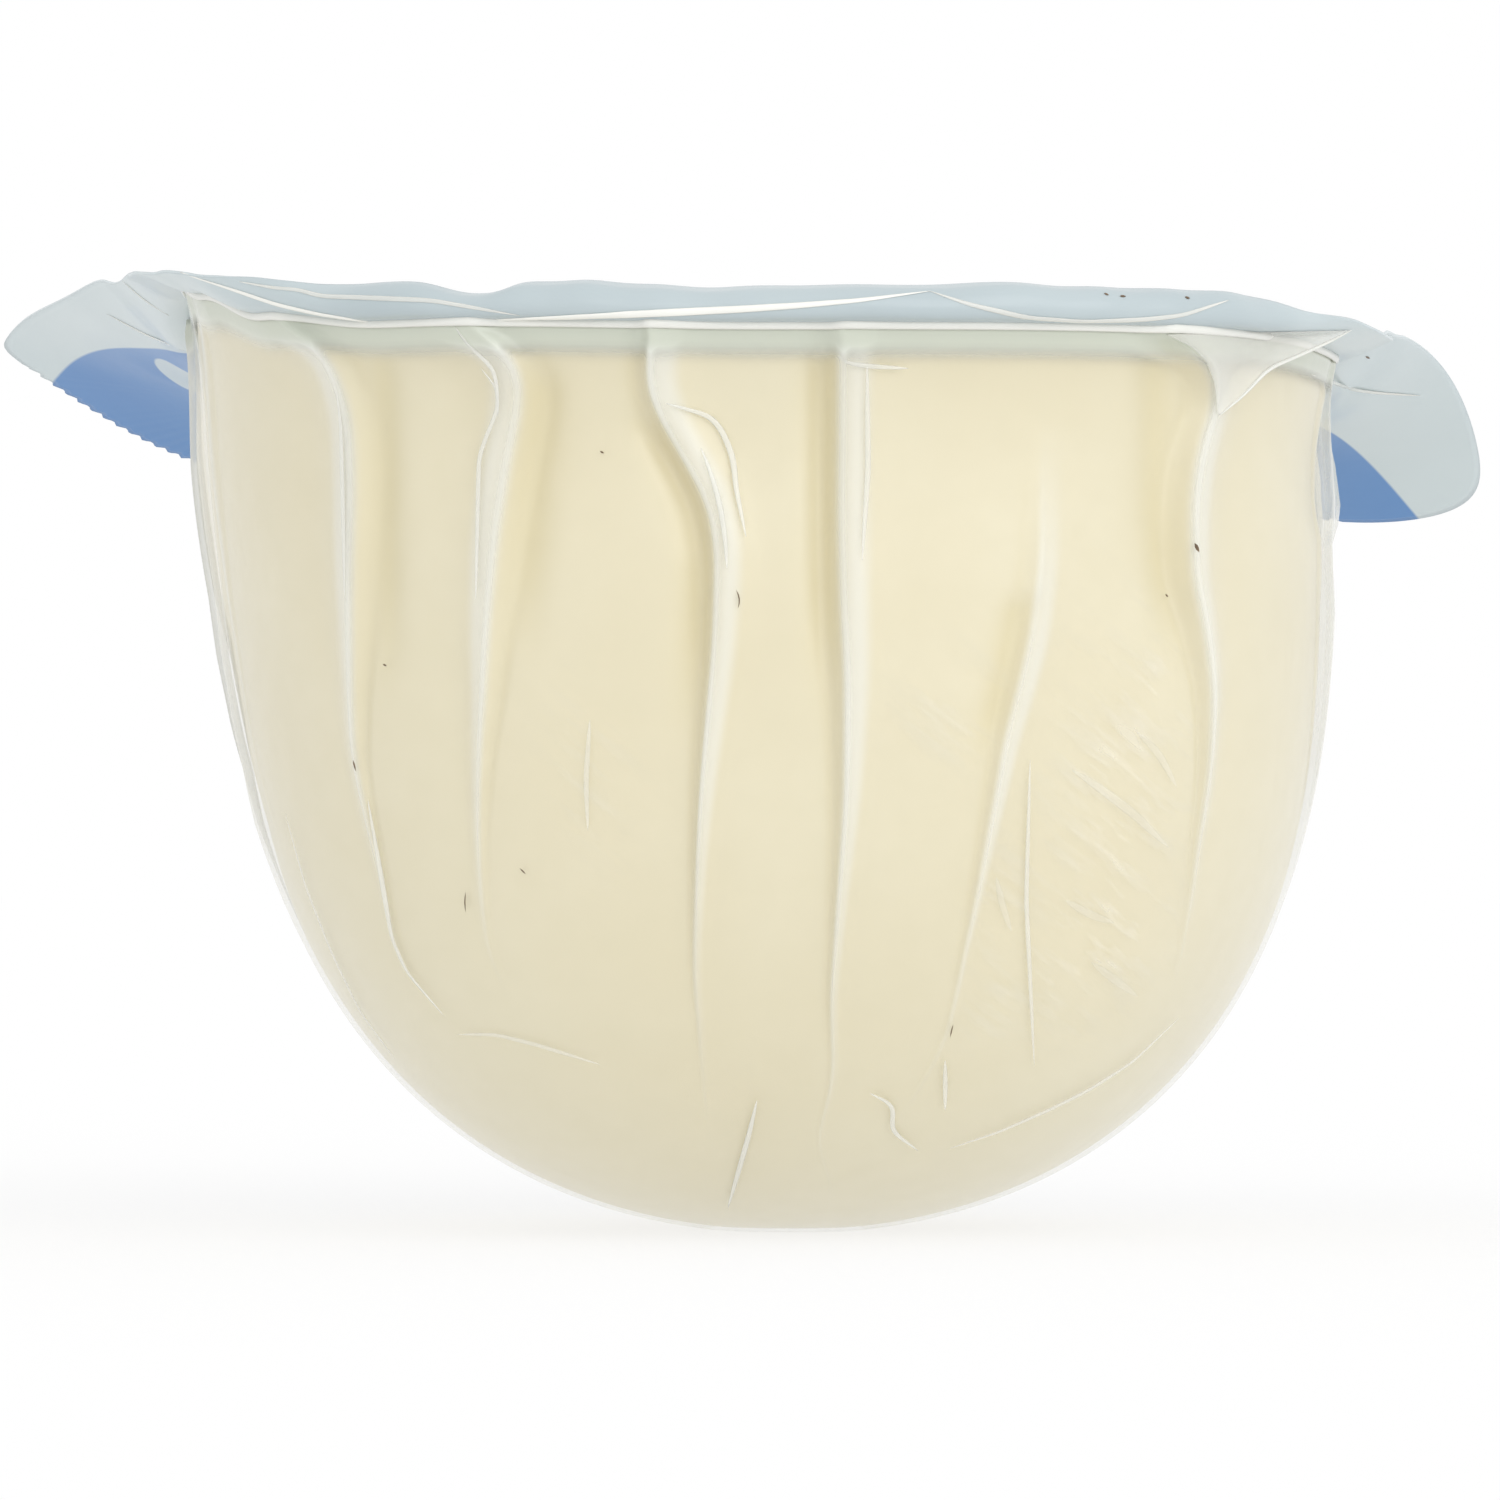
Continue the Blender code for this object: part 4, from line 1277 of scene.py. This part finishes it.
def loose_flap():
    """The flap's front face and, a film's thickness behind it, its back face, as one closed grid
    whose columns go over and back, with a ridge along its free edge."""
    front = flap_sheet()
    grid = np.concatenate([front, front[:, ::-1] + [0, FLAP_THICKNESS, 0]], axis=1)
    edge = front[:, -1]
    facing = np.broadcast_to([0.3, -1.0, 0.0], edge.shape)
    grids = [(grid, grid[0].mean(axis=0), grid[-1].mean(axis=0)), ridge(edge, facing, FLAP_EDGE, FLAP_EDGE)]
    covers = [np.full(g[0].shape[:2], cover) for g, cover in zip(grids, (FLAP_COVER, FLAP_EDGE_COVER))]
    closed_surface("loose_flap", grids, crease_highlight_look, "scamorza_in_film", {"cover": covers})


loose_flap()

# %% [markdown]
# ## Specks and fibres
#
# A few crumbs and fibres lie on the film.  Dots in a texture would do from afar, but real ones stand
# up a little.  They are few, so each is placed, as a very short ridge or, for a fibre, a bent one.

# %% Specks and fibres: half width in mm, cover, picture points
FILM_SPECKS = (
    (0.05, 1.0, ((736, 590), (742, 594), (744, 602), (738, 608))),
    (0.13, 1.0, ((1195, 543), (1199, 552))),
    (0.06, 1.0, ((353, 760), (356, 771))),
    (0.07, 1.0, ((383, 664), (387, 666))),
    (0.05, 1.0, ((953, 1024), (949, 1031), (950, 1037))),
    (0.07, 1.0, ((600, 451), (604, 453))),
    (0.05, 1.0, ((466, 892), (463, 902), (466, 912))),
    (0.05, 1.0, ((520, 868), (526, 874))),
    (0.07, 1.0, ((1165, 594), (1168, 597))),
)
LID_SPECKS = (
    (0.08, 1.0, ((1322, 355), (1326, 357))),
    (0.08, 1.0, ((1366, 356), (1370, 358))),
    (0.1, 1.0, ((1104, 293), (1109, 295))),
    (0.1, 1.0, ((1120, 296), (1126, 296))),
    (0.12, 1.0, ((1185, 297), (1190, 298))),
)
ridges("film_specks", film_tree, FILM_SPECKS, "scamorza_in_film", speck_look)
ridges("lid_specks", lid_tree, LID_SPECKS, "lid_film", speck_look)

# %% [markdown]
# ## Floor and light
#
# The pack stands on a light table: a pale floor that also glows, which takes the darkness out of the
# shadow under the dome.  The background lights everything, one distant light as wide as a softbox
# comes from the front right, so the pleats are modelled gently, and a second fills the front.  The
# floor's shade is worked out so that floor and background are equally bright and the horizon
# disappears: glow + shade x (background + lights / pi) = background.

# %% Floor, world and lights
WORLD_LIGHT = 1.0
FLOOR_GLOW = 0.75
KEY_TOWARDS = (-0.55, 0.8, -0.45)
KEY_STRENGTH, KEY_SPREAD = 0.65, 50.0
FILL_TOWARDS = (-0.1, 1.0, 0.0)
FILL_STRENGTH, FILL_SPREAD = 0.5, 60.0
FLOOR_RADIUS, FLOOR_SIDES = 4.0, 96
key_down = -KEY_TOWARDS[2] / math.hypot(*KEY_TOWARDS)
fill_down = 2 * math.sin(math.radians(FILL_SPREAD / 2)) / (3 * math.pi)     # upper half of a level light
floor_light = WORLD_LIGHT + (KEY_STRENGTH * key_down + FILL_STRENGTH * fill_down) / math.pi
floor_shade = (WORLD_LIGHT - FLOOR_GLOW) / floor_light
print("shade of the floor:", round(floor_shade, 3))


def make_floor():
    """A wide disc of plain pale material that glows a little."""
    turn = np.linspace(0, 2 * math.pi, FLOOR_SIDES, endpoint=False)
    points = np.column_stack([np.cos(turn), np.sin(turn), 0 * turn]) * FLOOR_RADIUS
    mesh = bpy.data.meshes.new("floor")
    mesh.from_pydata(points.tolist(), [], [tuple(range(FLOOR_SIDES))])
    made, tree, shader = new_finish("pale_floor")
    fill(tree, shader, {
        "Base Color": (floor_shade, floor_shade, floor_shade, 1),
        "Roughness": 1.0,
        "Specular IOR Level": 0.0,
        "Emission Color": (1, 1, 1, 1),
        "Emission Strength": FLOOR_GLOW,
    })
    mesh.materials.append(made)
    floor = bpy.data.objects.new("floor", mesh)
    bpy.context.scene.collection.objects.link(floor)


def soft_sun(name, towards, strength, spread):
    """A distant light as wide as a big softbox: a sun with an angle of many degrees."""
    data = bpy.data.lights.new(name, "SUN")
    data.energy = strength
    data.angle = math.radians(spread)
    light = bpy.data.objects.new(name, data)
    light.rotation_euler = Vector(towards).to_track_quat("-Z", "Y").to_euler()
    bpy.context.scene.collection.objects.link(light)


make_floor()
world = bpy.data.worlds.new("studio")
world.use_nodes = True
world.node_tree.nodes["Background"].inputs[0].default_value = (1, 1, 1, 1)
world.node_tree.nodes["Background"].inputs[1].default_value = WORLD_LIGHT
bpy.context.scene.world = world
bpy.context.scene.view_settings.view_transform = "Standard"
soft_sun("key", KEY_TOWARDS, KEY_STRENGTH, KEY_SPREAD)
soft_sun("front_fill", FILL_TOWARDS, FILL_STRENGTH, FILL_SPREAD)
